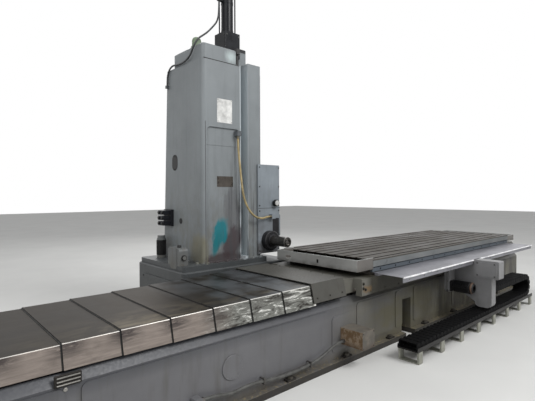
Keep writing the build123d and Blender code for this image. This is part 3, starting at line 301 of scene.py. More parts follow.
class Finish:
    """A material with noise, position masks and mixes, all on Object coordinates."""

    def __init__(self, name, metallic=0.0, specular=0.35, edge=1.0, shift=0.0):
        self.shift = (shift, 0.7 * shift, 0.0)
        self.material = bpy.data.materials.new(name)
        self.material.use_nodes = True
        self.tree = self.material.node_tree
        self.surface = self.tree.nodes["Principled BSDF"]
        self.surface.inputs["Metallic"].default_value = metallic
        self.surface.inputs["Specular IOR Level"].default_value = specular
        self.surface.inputs["Specular Tint"].default_value = (edge, edge, edge, 1.0)
        self.place = self.node("TexCoord").outputs["Object"]

    def link(self, source, target):
        """Joins a socket to the target, or sets the target to a number, vector or colour."""
        if isinstance(source, bpy.types.NodeSocket):
            self.tree.links.new(source, target)
        elif target.type == "RGBA":
            target.default_value = (*srgb(source), 1.0)
        else:
            target.default_value = source

    def node(self, kind, settings=(), **inputs):
        """A new shader node with its settings, and each input linked or set; an underscore
        stands for the space in an input's name."""
        node = self.tree.nodes.new("ShaderNode" + kind)
        for name, value in dict(settings).items():
            setattr(node, name, value)
        for name, source in inputs.items():
            self.link(source, node.inputs[name.replace("_", " ")])
        return node

    def stretched(self, scale):
        node = self.node("Mapping", Location=self.shift, Scale=scale, Vector=self.place)
        return node.outputs["Vector"]

    def noise(self, scale, stretch=EVEN, detail=5.0, rough=0.6, warp=0.0):
        node = self.node(
            "TexNoise", Vector=self.stretched(stretch),
            Scale=scale, Detail=detail, Roughness=rough, Distortion=warp,
        )
        return node.outputs["Fac"]

    def cells(self, scale):
        return self.node("TexVoronoi", Scale=scale, Vector=self.stretched(EVEN)).outputs["Distance"]

    def span(self, value, low, high, out_low=0.0, out_high=1.0):
        """The value's range from low to high, spread from out_low to out_high."""
        node = self.node(
            "MapRange", Value=value, From_Min=low, From_Max=high, To_Min=out_low, To_Max=out_high
        )
        return node.outputs["Result"]

    def maths(self, operation, *values):
        """The operation on the values, products held between nothing and one."""
        settings = {"operation": operation, "use_clamp": operation == "MULTIPLY"}
        node = self.node("Math", settings)
        for value, socket in zip(values, node.inputs):
            self.link(value, socket)
        return node.outputs["Value"]

    def both(self, first, second):
        """Where two masks meet, or a mask times a number."""
        return self.maths("MULTIPLY", first, second)

    def patches(self, low, high, *noise, **more):
        """A mask that rises as a noise goes from low to high."""
        return self.span(self.noise(*noise, **more), low, high)

    def axis(self, name):
        return self.node("SeparateXYZ", Vector=self.place).outputs[name]

    def along(self, name, *limits):
        """A mask that rises between two places along an axis."""
        return self.span(self.axis(name), *limits)

    def faces(self, name, low, high):
        """A mask of how far the surface faces along an axis, from its own normal."""
        normal = self.node("NewGeometry").outputs["True Normal"]
        return self.span(self.node("SeparateXYZ", Vector=normal).outputs[name], low, high)

    def blob(self, middle, size, soft=0.5, ragged=1.2, scale=16.0, lean=0.0):
        """Ragged patch: one inside an ellipsoid round middle, leaning round Y, and nothing
        outside it, with an edge torn by noise that runs down the wall."""
        inside = self.node(
            "Mapping", {"vector_type": "TEXTURE"}, Vector=self.place,
            Location=middle, Rotation=(0.0, lean, 0.0), Scale=size,
        )
        length = self.node("VectorMath", {"operation": "LENGTH"}, Vector=inside.outputs["Vector"])
        edge = self.both(self.noise(scale, (1.0, 1.0, 0.45), 8.0, 0.7), ragged)
        away = self.maths("ADD", length.outputs["Value"], edge)
        return self.span(away, 1.0 + ragged * 0.5, 1.0 + ragged * 0.5 - soft)

    def mix(self, share, first, second, kind="RGBA"):
        node = self.node("Mix", {"data_type": kind}, Factor=share, A=first, B=second)
        return node.outputs["Result"]

    def over(self, base, tone, mask, share):
        """The base with a tone laid over it where the mask is, by at most the share."""
        return self.mix(self.both(mask, share), base, tone)

    def mottled(self, value, low, high, colour, dark, light):
        """The colour from its dark to its light shade as the value goes from low to high."""
        return self.mix(self.span(value, low, high), shade(colour, dark), shade(colour, light))

    def coat(self, colour, rough, bump=None, depth=0.001, strength=0.4):
        """Puts colour, roughness and relief on the surface and gives the material."""
        self.link(colour, self.surface.inputs["Base Color"])
        self.link(rough, self.surface.inputs["Roughness"])
        if bump is not None:
            relief = self.node("Bump", Distance=depth, Strength=strength, Height=bump)
            self.link(relief.outputs["Normal"], self.surface.inputs["Normal"])
        return self.material

    def enamelled(self, base, smooth, dull, ripple, flat, depth=0.0012, grain=60.0):
        """Coats the material as brushed enamel, smooth and dull in fine spots, with a
        ripple whose scale along Z is flat times the others."""
        shine = self.span(self.noise(grain, detail=8.0, rough=0.7), 0.3, 0.75, smooth, dull)
        return self.coat(base, shine, self.noise(ripple, (1.0, 1.0, flat), 3.0), depth, 0.25)


def machine_paint(name, colour, grime=(0.33, 0.31, 0.27), dirt=0.35, low=None, high=None):
    """Old brushed machine enamel: broad blotches, runs down the walls, oily grime that
    gathers between two heights, and the ripple of a brushed coat."""
    f = Finish(name)
    broad = f.noise(2.3, detail=4.0)
    runs = f.patches(0.5, 0.78, 16.0, (1.0, 1.0, 0.12), 6.0)
    base = f.mottled(broad, 0.35, 0.68, colour, 0.93, 1.06)
    base = f.over(base, grime, runs, dirt)
    if low is not None:
        gather = f.both(f.along("Z", high, low), f.patches(0.3, 0.62, 7.0, detail=7.0))
        base = f.mix(gather, base, grime)
    spots = f.both(f.span(f.cells(26.0), 0.07, 0.03), f.span(broad, 0.55, 0.62))
    base = f.over(base, shade(grime, 0.6), spots, 0.5)
    return f.enamelled(base, 0.32, 0.58, 34.0, 0.5)


def column_paint(colour):
    """The column's enamel with its worn foot, the scuffed maroon and teal patches low on
    the front panel, dark streaks below the hose, painted light in the front recess and a
    painted sheen on a worn patch of the cap."""
    f = Finish("column_enamel")
    broad = f.noise(1.6, detail=4.0)
    runs = f.patches(0.52, 0.8, 14.0, (1.0, 1.0, 0.1), 6.0)
    base = f.mottled(broad, 0.35, 0.68, colour, 0.95, 1.04)
    base = f.over(base, (0.36, 0.37, 0.38), runs, 0.3)
    rub = f.both(f.along("Z", 2.0, 0.9), f.patches(0.44, 0.62, 9.0, (1.0, 1.0, 0.5), 9.0, 0.7))
    base = f.over(base, (0.42, 0.41, 0.37), rub, 0.6)
    front = f.along("Y", 1.0, 0.985)
    # Painted light: the front recess between X -0.882 and -0.745 is lightened to half again the
    # enamel's colour.
    painted_recess_light = f.both(f.along("X", -0.882, -0.872), f.along("X", -0.745, -0.752))
    base = f.mix(painted_recess_light, base, shade(colour, 1.5))
    for middle, size, lean, share, tone in (
        ((-1.0, 0.965, 1.45), (0.13, 0.2, 0.34), 0.0, 0.6, (0.36, 0.36, 0.37)),
        ((-0.99, 0.965, 1.06), (0.15, 0.2, 0.26), 0.5, 0.9, (0.27, 0.23, 0.24)),
        ((-1.1, 0.965, 0.88), (0.34, 0.2, 0.09), 0.0, 0.85, (0.26, 0.22, 0.225)),
        ((-1.16, 0.965, 1.2), (0.115, 0.2, 0.2), 0.25, 0.95, (0.08, 0.46, 0.5)),
        ((-1.22, 0.965, 1.06), (0.06, 0.2, 0.16), 0.3, 0.9, (0.1, 0.44, 0.47)),
    ):
        patch = f.blob(middle, size, 0.4, 2.0, 13.0, lean)
        base = f.over(base, tone, f.both(patch, front), share)
    worn = f.blob((-1.42, 1.0, 1.0), (0.1, 0.3, 0.24), scale=12.0)
    base = f.over(base, (0.52, 0.49, 0.36), worn, 0.5)
    # A worn patch on the cap's front, lightened to near white as a painted sheen.
    shiny = f.blob((-1.0, 0.965, 3.33), (0.1, 0.1, 0.09), 0.8, 1.2, 9.0)
    base = f.over(base, (0.74, 0.79, 0.79), shiny, 0.75)
    drips = f.patches(0.5, 0.62, 22.0, (1.0, 1.0, 0.06), 7.0, 0.7)
    below = f.both(f.along("Z", 2.3, 1.5), f.along("X", -1.32, -1.0))
    base = f.over(base, (0.28, 0.28, 0.29), f.both(drips, below), 0.7)
    gap = f.both(f.along("X", -1.3885, -1.3855), f.along("X", -1.378, -1.381))
    gap = f.both(gap, f.both(front, f.along("Z", 2.52, 2.5)))
    base = f.over(base, (0.2, 0.2, 0.21), gap, 0.85)
    specks = f.span(f.cells(30.0), 0.06, 0.03)
    base = f.over(base, (0.24, 0.24, 0.24), specks, 0.45)
    return f.enamelled(base, 0.32, 0.55, 26.0, 0.6)


def bed_paint(colour):
    """The bed's enamel: clean and smooth at the left, yellowed towards the right end and
    streaked dark further right, the foot flange's side painted near black as shade, and
    painted shadow along the shoulder below the covers."""
    f = Finish("bed_enamel")
    broad = f.noise(1.9, detail=4.0)
    base = f.mottled(broad, 0.35, 0.68, colour, 0.95, 1.05)
    yellowed = f.along("X", -1.1, -0.1)
    patches = f.patches(0.22, 0.55, 3.5, (0.6, 1.0, 1.4), 7.0)
    base = f.over(base, (0.4, 0.385, 0.31), f.both(yellowed, patches), 0.85)
    # Dark streaks that grow from X 0.3 to 1.6, beneath the saddle.
    oil_and_painted_shade = f.patches(0.36, 0.6, 7.0, (1.0, 1.0, 0.2), 8.0, 0.7)
    oil_and_painted_shade = f.both(oil_and_painted_shade, f.along("X", 0.3, 1.6))
    base = f.over(base, (0.1, 0.09, 0.07), oil_and_painted_shade, 0.85)
    runs = f.patches(0.53, 0.76, 15.0, (1.0, 1.0, 0.1), 6.0)
    base = f.over(base, (0.3, 0.29, 0.25), runs, 0.45)
    foot = f.both(f.along("Z", 0.16, 0.06), f.patches(0.25, 0.55, 9.0, detail=8.0))
    base = f.over(base, (0.36, 0.34, 0.3), foot, 0.75)
    crumbs = f.both(f.along("Z", 0.09, 0.06), f.patches(0.54, 0.62, 30.0, detail=8.0, rough=0.75))
    base = f.over(base, (0.6, 0.55, 0.42), crumbs, 0.7)
    # Painted shade: the foot flange's side, below Z 0.057, is painted near black.
    rim = f.both(f.along("Z", 0.057, 0.054), f.faces("Z", 0.6, 0.3))
    base = f.over(base, (0.13, 0.12, 0.11), rim, 0.9)
    # Painted shadow of the cover skirts: from Z 0.46 upwards the wall and shoulder are darkened to
    # blue-grey, most at the far left.
    painted_shoulder_shadow = f.both(f.along("Z", 0.46, 0.6), f.along("X", -4.0, -1.2, 0.95, 0.6))
    base = f.mix(painted_shoulder_shadow, base, (0.19, 0.2, 0.225))
    return f.enamelled(base, 0.3, 0.55, 20.0, 0.6, depth=0.0015)


def saddle_paint(colour):
    """The saddle's enamel: grey at the nose, brown with oil and darkened as painted shadow
    beneath the gutter along the apron, stained with rust beside the nose's bolts."""
    f = Finish("saddle_enamel", specular=0.2)
    broad = f.noise(2.6, detail=5.0)
    base = f.mottled(broad, 0.35, 0.68, colour, 0.92, 1.08)
    # Oil and painted shadow of the gutter: from X -0.44 on, the apron is darkened to a dark brown.
    streaks = f.patches(0.1, 0.38, 8.0, (1.0, 1.0, 0.25), 8.0, 0.7)
    oil_and_painted_shade = f.both(f.along("X", -0.54, -0.44), streaks)
    base = f.over(base, (0.15, 0.14, 0.105), oil_and_painted_shade, 0.9)
    stain = f.blob((-0.52, -0.66, 0.69), (0.1, 0.1, 0.05), 0.5, 1.2, 14.0)
    base = f.over(base, (0.44, 0.34, 0.2), stain, 0.6)
    return f.enamelled(base, 0.32, 0.55, 30.0, 0.5, grain=50.0)


def cover_steel(name, top, skirt, shift=0.0):
    """Oiled sheet steel: a satin brown film on top with a painted sheen near its front, a
    bright line along each corner that is worn metal and a painted highlight, skirts that are
    dull and pinkish at the far left and, nearer to the saddle, smooth bright metal with
    painted dark and white reflections, and dark smears by each seam, whose place repeats
    with the pitch; shift moves the pattern, so that covers beside each other differ."""
    f = Finish(name, metallic=0.85, edge=0.58, shift=shift)
    upward = f.faces("Z", 0.55, 0.9)
    film = f.noise(2.2, (1.0, 0.5, 1.0), 5.0)
    rubs = f.noise(20.0, (0.1, 1.0, 1.0), 8.0, 0.7)
    roof = f.mottled(film, 0.3, 0.7, top, 0.88, 1.08)
    roof = f.over(roof, shade(top, 1.5), f.span(rubs, 0.45, 0.75), 0.22)
    # Painted sheen: lighter warm patches near the front of the tops, fading out at the far left.
    painted_top_sheen = f.both(f.along("Y", -0.1, -0.5), f.along("X", -3.7, -2.9))
    painted_top_sheen = f.both(painted_top_sheen, f.patches(0.45, 0.62, 6.0, (0.5, 1.5, 1.0), 8.0, 0.7, 0.8))
    roof = f.over(roof, (0.6, 0.56, 0.48), painted_top_sheen, 0.4)
    blue = f.both(f.along("X", -2.4, -1.9), f.patches(0.4, 0.6, 3.0, detail=5.0))
    roof = f.over(roof, (0.5, 0.515, 0.53), blue, 0.8)

    near = f.along("X", -2.45, -2.1)
    scratches = f.noise(42.0, (0.08, 1.0, 1.3), 9.0, 0.75, 0.3)
    wall = f.mottled(scratches, 0.36, 0.66, skirt, 0.9, 1.12)
    cloud = f.noise(6.0, (0.8, 1.0, 1.5), 8.0, 0.7)
    wall = f.over(wall, shade(skirt, 0.66), f.span(cloud, 0.52, 0.68), 0.45)
    # Painted reflections on the smooth skirts nearer the saddle: wavy near-black and near-white
    # colour.
    waves = f.noise(10.0, (0.45, 1.0, 1.9), 8.0, 0.68, 1.8)
    painted_reflections = f.mix(f.span(waves, 0.38, 0.5), (0.07, 0.075, 0.07), (0.5, 0.51, 0.49))
    painted_reflections = f.mix(f.span(waves, 0.55, 0.62), painted_reflections, (0.97, 0.97, 0.95))
    wall = f.over(wall, painted_reflections, near, 0.85)
    seam = f.maths("MULTIPLY_ADD", f.axis("X"), 1.0 / COVER_PITCH, 0.5)
    seam = f.maths("PINGPONG", seam, 0.5)
    smear = f.both(f.span(seam, 0.4, 0.1), f.along("Z", 0.67, 0.76))
    torn = f.patches(0.38, 0.52, 20.0, (0.25, 1.0, 1.3), 9.0, 0.75, 0.8)
    smear = f.both(f.both(smear, torn), f.span(near, 0.0, 1.0, 0.85, 0.3))
    wall = f.mix(smear, wall, (0.2, 0.185, 0.19))

    base = f.mix(upward, wall, roof)
    # A near-white line along each rounded corner: worn metal and a painted highlight, brighter
    # towards the saddle.
    corner = f.both(f.faces("Z", 0.35, 0.5), f.faces("Z", 0.95, 0.8))
    bright = f.along("X", -3.2, -1.9, 0.4, 0.95)
    bright = f.both(bright, f.span(scratches, 0.3, 0.55, 0.5, 1.0))
    base = f.over(base, (0.9, 0.89, 0.87), corner, bright)
    wet = f.span(film, 0.3, 0.7, 0.34, 0.48)
    dry = f.span(near, 0.0, 1.0, 0.44, 0.16)
    bump = f.noise(7.0, (0.6, 1.0, 1.0), 4.0)
    return f.coat(base, f.mix(upward, dry, wet, "FLOAT"), bump, 0.002, 0.25)


def ground_steel(name, colour, rough=0.3, along=(0.08, 1.0, 1.0), metallic=0.9):
    """Ground or turned steel: fine lines along one direction under an oil film."""
    f = Finish(name, metallic=metallic)
    lines = f.noise(90.0, along, 6.0, 0.7)
    film = f.noise(5.0, detail=6.0)
    base = f.mottled(lines, 0.35, 0.65, colour, 0.85, 1.1)
    base = f.over(base, shade(colour, 0.6), f.span(film, 0.5, 0.7), 0.4)
    shine = f.span(film, 0.3, 0.7, rough - 0.07, rough + 0.15)
    return f.coat(base, shine, lines, 0.0004, 0.25)


def table_iron(colour):
    """Planed cast iron: lines along the travel, brown oil stains, rust bloom in patches,
    slots painted dark as shade, whose walls face sideways below the top, and the front
    face's lower part painted darker as shade."""
    f = Finish("table_iron", metallic=0.35, specular=0.1, edge=0.05)
    lines = f.noise(120.0, (0.03, 1.0, 1.0), 5.0, 0.7)
    film = f.noise(2.6, (0.8, 1.2, 1.0), 6.0)
    base = f.mottled(lines, 0.35, 0.65, colour, 0.86, 1.1)
    base = f.over(base, (0.25, 0.215, 0.18), f.span(film, 0.45, 0.68), 0.4)
    bloom = f.patches(0.56, 0.7, 7.0, detail=8.0)
    base = f.over(base, (0.31, 0.235, 0.175), bloom, 0.3)
    # Painted shade: the walls and floors of the slots, below the top surface, are painted near
    # black.
    inside = f.both(f.along("Z", 0.9596, 0.9575), f.along("Y", -0.57, -0.56))
    base = f.over(base, (0.06, 0.055, 0.05), inside, 0.95)
    front = f.both(f.along("Y", -0.56, -0.575), f.along("Z", 0.955, 0.945))
    light = f.mix(f.span(film, 0.35, 0.65), (0.5, 0.515, 0.52), (0.57, 0.58, 0.58))
    # Painted shade: the table's front face below Z 0.882 is given a bluish dark tone.
    painted_front_shade = f.both(front, f.along("Z", 0.885, 0.882))
    base = f.over(base, light, front, 0.9)
    base = f.over(base, (0.37, 0.4, 0.43), painted_front_shade, 0.85)
    shine = f.span(film, 0.3, 0.7, 0.26, 0.46)
    return f.coat(base, shine, lines, 0.0005, 0.2)


def bright_sheet(colour):
    """Thin bright sheet metal, slightly dented, with a few dull water marks."""
    f = Finish("gutter_sheet", metallic=0.6)
    marks = f.noise(5.0, (0.5, 1.0, 1.0), 6.0)
    lines = f.noise(70.0, (0.05, 1.0, 1.0), 4.0)
    base = f.mix(f.span(marks, 0.4, 0.7), colour, shade(colour, 0.8))
    shine = f.span(lines, 0.3, 0.7, 0.3, 0.5)
    dents = f.noise(4.0, (0.6, 1.0, 1.0), 2.0)
    return f.coat(base, shine, dents, 0.004, 0.2)


def plain_coat(name, colour, rough=0.45, metallic=0.0, wear=0.25, specular=0.35):
    """Small parts: one colour with cloudy tone, rubbed spots and a fine surface grain."""
    f = Finish(name, metallic=metallic, specular=specular)
    cloud = f.noise(9.0, detail=6.0)
    fine = f.noise(80.0, detail=6.0, rough=0.7)
    base = f.mottled(cloud, 0.35, 0.65, colour, 0.85, 1.12)
    base = f.over(base, shade(colour, 1.6), f.span(fine, 0.6, 0.75), wear)
    shine = f.span(cloud, 0.3, 0.7, rough - 0.08, rough + 0.12)
    return f.coat(base, shine, fine, 0.0005, 0.3)


def trough_paint(colour):
    """The end troughs: pale enamel, darker low down and browner on the narrow sides."""
    f = Finish("trough_enamel")
    cloud = f.noise(5.0, (1.0, 0.4, 1.0), 6.0)
    base = f.mottled(cloud, 0.35, 0.65, colour, 0.92, 1.06)
    narrow = f.faces("Y", -0.5, -0.8)
    base = f.over(base, (0.39, 0.375, 0.36), narrow, 0.9)
    low = f.both(f.along("Z", 0.91, 0.865), f.patches(0.35, 0.6, 12.0, detail=7.0))
    base = f.over(base, (0.27, 0.26, 0.24), low, 0.7)
    return f.coat(base, f.span(cloud, 0.3, 0.7, 0.35, 0.5), f.noise(40.0), 0.0006, 0.25)


def two_tone(name, low, high, height):
    """A painted foot in one colour and, above a height, a body in another."""
    f = Finish(name)
    cloud = f.noise(9.0, detail=6.0)
    base = f.mix(f.along("Z", height - 0.003, height + 0.003), low, high)
    base = f.over(base, (0.1, 0.1, 0.1), f.span(cloud, 0.45, 0.65), 0.25)
    return f.coat(base, f.span(cloud, 0.3, 0.7, 0.38, 0.52), f.noise(70.0), 0.0005, 0.3)


def tray_paint(light, dark):
    """The chain's tray, black with oil, on stands that are still pale."""
    f = Finish("tray_enamel")
    cloud = f.noise(9.0, detail=6.0)
    pale = f.mottled(cloud, 0.35, 0.65, light, 0.85, 1.05)
    oil_and_painted_shade = f.mottled(cloud, 0.35, 0.65, dark, 0.8, 1.3)
    base = f.mix(f.along("Z", 0.1165, 0.118), pale, oil_and_painted_shade)
    return f.coat(base, f.span(cloud, 0.3, 0.7, 0.35, 0.55), f.noise(60.0), 0.0005, 0.3)


def ribbed_hose(colour, name):
    """Hose or cable cover: soft sheen, dusty patches and fine wrapping marks."""
    f = Finish(name)
    dust = f.noise(14.0, detail=6.0)
    weave = f.noise(220.0, detail=3.0)
    base = f.mix(f.span(dust, 0.4, 0.68), colour, shade(colour, 0.72))
    shine = f.span(dust, 0.3, 0.7, 0.4, 0.62)
    return f.coat(base, shine, weave, 0.0006, 0.35)


def rusty_tan(colour, plain):
    """The junction box: grey enamel, its left side worn to rust and primer; the conduit's
    other end, far to the left, in the bed's own enamel."""
    f = Finish("junction_box_enamel")
    cloud = f.noise(8.0, detail=6.0)
    base = f.mottled(cloud, 0.35, 0.65, colour, 0.88, 1.1)
    side = f.faces("X", -0.3, -0.8)
    base = f.over(base, (0.4, 0.31, 0.21), side, 0.85)
    chips = f.patches(0.47, 0.55, 16.0, detail=9.0, rough=0.7)
    base = f.over(base, (0.56, 0.5, 0.43), chips, f.span(side, 0.0, 1.0, 0.15, 0.75))
    low = f.both(f.along("Z", 0.25, 0.2), f.span(cloud, 0.35, 0.55))
    base = f.over(base, (0.24, 0.18, 0.15), low, 0.6)
    base = f.mix(f.along("X", -1.4, -1.5), base, plain)
    shine = f.span(cloud, 0.3, 0.7, 0.35, 0.6)
    return f.coat(base, shine, f.noise(40.0), 0.0008, 0.3)


# Finishes of the nodes that come from the frame

def finish_nodes(finish, *names):
    """Gives a material to nodes of the frame, in every slot of theirs."""
    for name in names:
        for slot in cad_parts[name].material_slots:
            slot.material = finish


def finish_of(name):
    """The material that a node of the frame has by now."""
    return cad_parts[name].material_slots[0].material


# Settings

def tint(name, description, default):
    return bpy.props.FloatVectorProperty(
        name=name, description=description, default=default,
        size=3, min=0.0, max=1.0, subtype="COLOR_GAMMA",
    )


def distance(name, description, default):
    return bpy.props.FloatProperty(
        name=name, description=description, default=default, min=0.0, soft_max=10.0, unit="LENGTH"
    )


def angle(name, description, degrees):
    return bpy.props.FloatProperty(
        name=name, description=description, default=math.radians(degrees), subtype="ANGLE"
    )


def power_of(name, description, default):
    return bpy.props.FloatProperty(
        name=name, description=description, default=default, unit="POWER"
    )


def number(name, description, default, least):
    return bpy.props.IntProperty(
        name=name, description=description, default=default, min=least
    )


class StageSettings(bpy.types.PropertyGroup):
    eye: bpy.props.FloatVectorProperty(
        name="Camera place", description="Where the camera stands",
        default=(-4.055, -3.122, 1.65), subtype="TRANSLATION",
    )
    yaw: angle("Yaw", "Camera's turn from +Y towards +X", 41.67)
    pitch: angle("Pitch", "Camera's tilt upwards", -0.8)
    roll: angle("Roll", "Camera's lean", -0.2)
    focal: bpy.props.FloatProperty(
        name="Lens", description="Focal length on a 36 mm wide sensor",
        default=SENSOR_WIDTH * FOCAL_IN_PIXELS / PHOTO_WIDTH, unit="CAMERA",
    )
    key: power_of("Key light", "Power of the large soft lamp", 900.0)
    fill: power_of("Fill light", "Power of the second lamp", 300.0)
    sky: bpy.props.FloatProperty(
        name="Sky", description="Strength of the light from all round", default=0.42, min=0.0
    )
    floor: tint("Floor", "Colour of the floor", (0.86, 0.86, 0.85))


class PaintSettings(bpy.types.PropertyGroup):
    bed: tint("Bed", "Enamel of the bed", (0.4, 0.4, 0.41))
    saddle: tint("Saddle", "Enamel of the saddle", (0.385, 0.38, 0.355))
    column: tint("Column", "Enamel of the column", (0.5, 0.52, 0.53))
    head: tint("Head", "Enamel of the head", (0.53, 0.56, 0.585))
    post: tint("Outrigger", "Enamel of the outrigger", (0.5, 0.5, 0.505))
    trough: tint("Troughs", "Enamel of the end troughs", (0.58, 0.58, 0.57))
    tan: tint("Junction box", "Enamel of the junction box", (0.37, 0.355, 0.33))


class CoverSettings(bpy.types.PropertyGroup):
    lip_width: distance("Lip width", "Width of the folded edge on each cover", 0.007)
    lip_height: distance("Lip height", "How far the folded edge stands proud", 0.0015)
    wiper: distance("Wiper height", "Height of the rubber wiper under each lip", 0.0026)
    top: tint("Oil film", "Colour of the cover's oily top", (0.26, 0.245, 0.228))
    skirt: tint("Skirt", "Colour of the cover's bright skirt", (0.505, 0.47, 0.445))


class BedSettings(bpy.types.PropertyGroup):
    screw_circle: distance("Screw circle", "Radius of the round plate's screws", 0.078)
    screw: distance("Screw radius", "Radius of the small cap screws", 0.008)
    joint_bolt: distance("Joint bolt", "Radius of the bolts that join the bed", 0.022)


class SaddleSettings(bpy.types.PropertyGroup):
    gib_pitch: distance("Gib screw pitch", "Distance between the gib screws", 0.265)
    gib_screw: distance("Gib screw radius", "Radius of the gib screws", 0.011)
    nose_bolt: distance("Nose bolt radius", "Radius of the nose piece's bolts", 0.016)


class GutterSettings(bpy.types.PropertyGroup):
    bead: distance("Bead radius", "Radius of the rolled edge along the lip", 0.009)
    screw_pitch: distance("Screw pitch", "Distance between the gutter's screws", 0.3)


class TableSettings(bpy.types.PropertyGroup):
    hem: distance("Trough hem", "Radius of the folded rim of the troughs", 0.0032)


class DriveSettings(bpy.types.PropertyGroup):
    fins: number("Fins", "Cooling fins round each motor", 28, 8)
    fin_height: distance("Fin height", "How far each fin stands out", 0.006)


class ChainSettings(bpy.types.PropertyGroup):
    lower_links: number("Lower links", "Links in the lower run", 40, 5)
    upper_links: number("Upper links", "Links in the upper run", 17, 3)
    loop_links: number("Loop links", "Links round the loop", 6, 3)
    cheek: distance("Cheek thickness", "Thickness of a link's side plate", 0.012)


class ColumnSettings(bpy.types.PropertyGroup):
    flange_bolt: distance("Flange bolt", "Radius of the holding-down bolts", 0.02)
    plate: distance("Plate thickness", "Thickness of the blank plates", 0.002)


class CylinderSettings(bpy.types.PropertyGroup):
    nut: distance("Nut radius", "Radius of the tie rods' nuts", 0.015)


class HeadSettings(bpy.types.PropertyGroup):
    screw: distance("Screw radius", "Radius of the head's cap screws", 0.009)
    knob_ring: distance("Knob ring", "Radius of the knob's light face", 0.034)


class SpindleSettings(bpy.types.PropertyGroup):
    ring: distance("Ring width", "Width of the quill's end ring", 0.01)


class CordSettings(bpy.types.PropertyGroup):
    hose: distance("Hose diameter", "Outside diameter of the head's hose", 0.026)
    cable: distance("Cable diameter", "Outside diameter of the column's cable", 0.022)
    conduit: distance("Conduit diameter", "Outside diameter of the bed's conduit", 0.028)
    hose_colour: tint("Hose colour", "Colour of the head's hose", (0.7, 0.63, 0.46))


class LubeSettings(bpy.types.PropertyGroup):
    gauge: distance("Gauge radius", "Radius of the pressure gauge", 0.03)
    plug: distance("Plug radius", "Radius of the valves' end plugs", 0.02)


SETTINGS = {
    "mill_stage": StageSettings,
    "mill_paint": PaintSettings,
    "mill_covers": CoverSettings,
    "mill_bed": BedSettings,
    "mill_saddle": SaddleSettings,
    "mill_gutter": GutterSettings,
    "mill_table": TableSettings,
    "mill_drive": DriveSettings,
    "mill_chain": ChainSettings,
    "mill_column": ColumnSettings,
    "mill_cylinder": CylinderSettings,
    "mill_head": HeadSettings,
    "mill_spindle": SpindleSettings,
    "mill_cords": CordSettings,
    "mill_lube": LubeSettings,
}


# Stage and finishes

class MILL_OT_stage(bpy.types.Operator):
    """Floor, soft lamps, pale surroundings and the camera at the photograph's angle."""

    bl_idname = "mill.stage"
    bl_label = "Stage"

    def execute(self, context):
        s = context.scene.mill_stage
        f = Finish("floor_coat", specular=0.2)
        cloud = f.patches(0.3, 0.7, 0.8, detail=3.0)
        floor_paint = f.coat(f.mix(cloud, s.floor, shade(s.floor, 0.97)), 0.75)
        half, count = 40.0, 41
        steps = np.linspace(-half, half, count)
        x, y = np.meshgrid(steps, steps, indexing="ij")
        points = np.stack([x, y, np.full_like(x, FLOOR)], -1).reshape(-1, 3)
        row = np.arange(count - 1)[:, None] * count + np.arange(count - 1)[None, :]
        quads = np.stack([row, row + count, row + count + 1, row + 1], -1).reshape(-1, 4)
        floor = show("floor", (points, quads, np.zeros((0, 3), int)), None, floor_paint)

        world = bpy.data.worlds.new("surroundings")
        world.use_nodes = True
        context.scene.world = world
        nodes, links = world.node_tree.nodes, world.node_tree.links
        light = nodes["Background"]
        light.inputs["Color"].default_value = (0.98, 0.985, 1.0, 1.0)
        light.inputs["Strength"].default_value = s.sky
        seen = nodes.new("ShaderNodeBackground")
        seen.inputs["Color"].default_value = (1.0, 1.0, 1.0, 1.0)
        seen.inputs["Strength"].default_value = 1.0
        ray = nodes.new("ShaderNodeLightPath")
        pick = nodes.new("ShaderNodeMixShader")
        white = ray.outputs["Is Camera Ray"]
        for kind in ("Is Glossy Ray", "Is Transmission Ray"):
            either = nodes.new("ShaderNodeMath")
            either.operation = "MAXIMUM"
            links.new(white, either.inputs[0])
            links.new(ray.outputs[kind], either.inputs[1])
            white = either.outputs["Value"]
        links.new(white, pick.inputs["Fac"])
        links.new(light.outputs["Background"], pick.inputs[1])
        links.new(seen.outputs["Background"], pick.inputs[2])
        links.new(pick.outputs["Shader"], nodes["World Output"].inputs["Surface"])

        for name, place, aim, size, power in (
            ("key_lamp", (1.5, -8.5, 9.5), (0.0, 0.0, 1.2), 5.0, s.key),
            ("fill_lamp", (-9.0, -3.5, 7.0), (-0.5, 0.0, 1.2), 6.0, s.fill),
            ("back_lamp", (3.5, 8.5, 8.0), (0.0, 0.8, 2.0), 5.0, s.fill),
        ):
            lamp = bpy.data.lights.new(name, "AREA")
            lamp.size = size
            lamp.energy = power
            holder = bpy.data.objects.new(name, lamp)
            holder.location = place
            way = Vector(aim) - Vector(place)
            holder.rotation_euler = way.to_track_quat("-Z", "Y").to_euler()
            context.scene.collection.objects.link(holder)

        east, north, level = math.sin(s.yaw), math.cos(s.yaw), math.cos(s.pitch)
        ahead = Vector((east * level, north * level, math.sin(s.pitch)))
        right = Vector((north, -east, 0.0))
        up = right.cross(ahead)
        right_leaned = right * math.cos(s.roll) + up * math.sin(s.roll)
        up_leaned = up * math.cos(s.roll) - right * math.sin(s.roll)
        data = bpy.data.cameras.new("view")
        data.lens = s.focal
        data.sensor_width = SENSOR_WIDTH
        data.clip_end = 200.0
        camera = bpy.data.objects.new("view", data)
        turn = Matrix((right_leaned, up_leaned, -ahead)).transposed()
        camera.matrix_world = Matrix.Translation(Vector(s.eye)) @ turn.to_4x4()
        context.scene.collection.objects.link(camera)
        context.scene.camera = camera
        context.scene.view_settings.view_transform = "Standard"
        return {"FINISHED"}


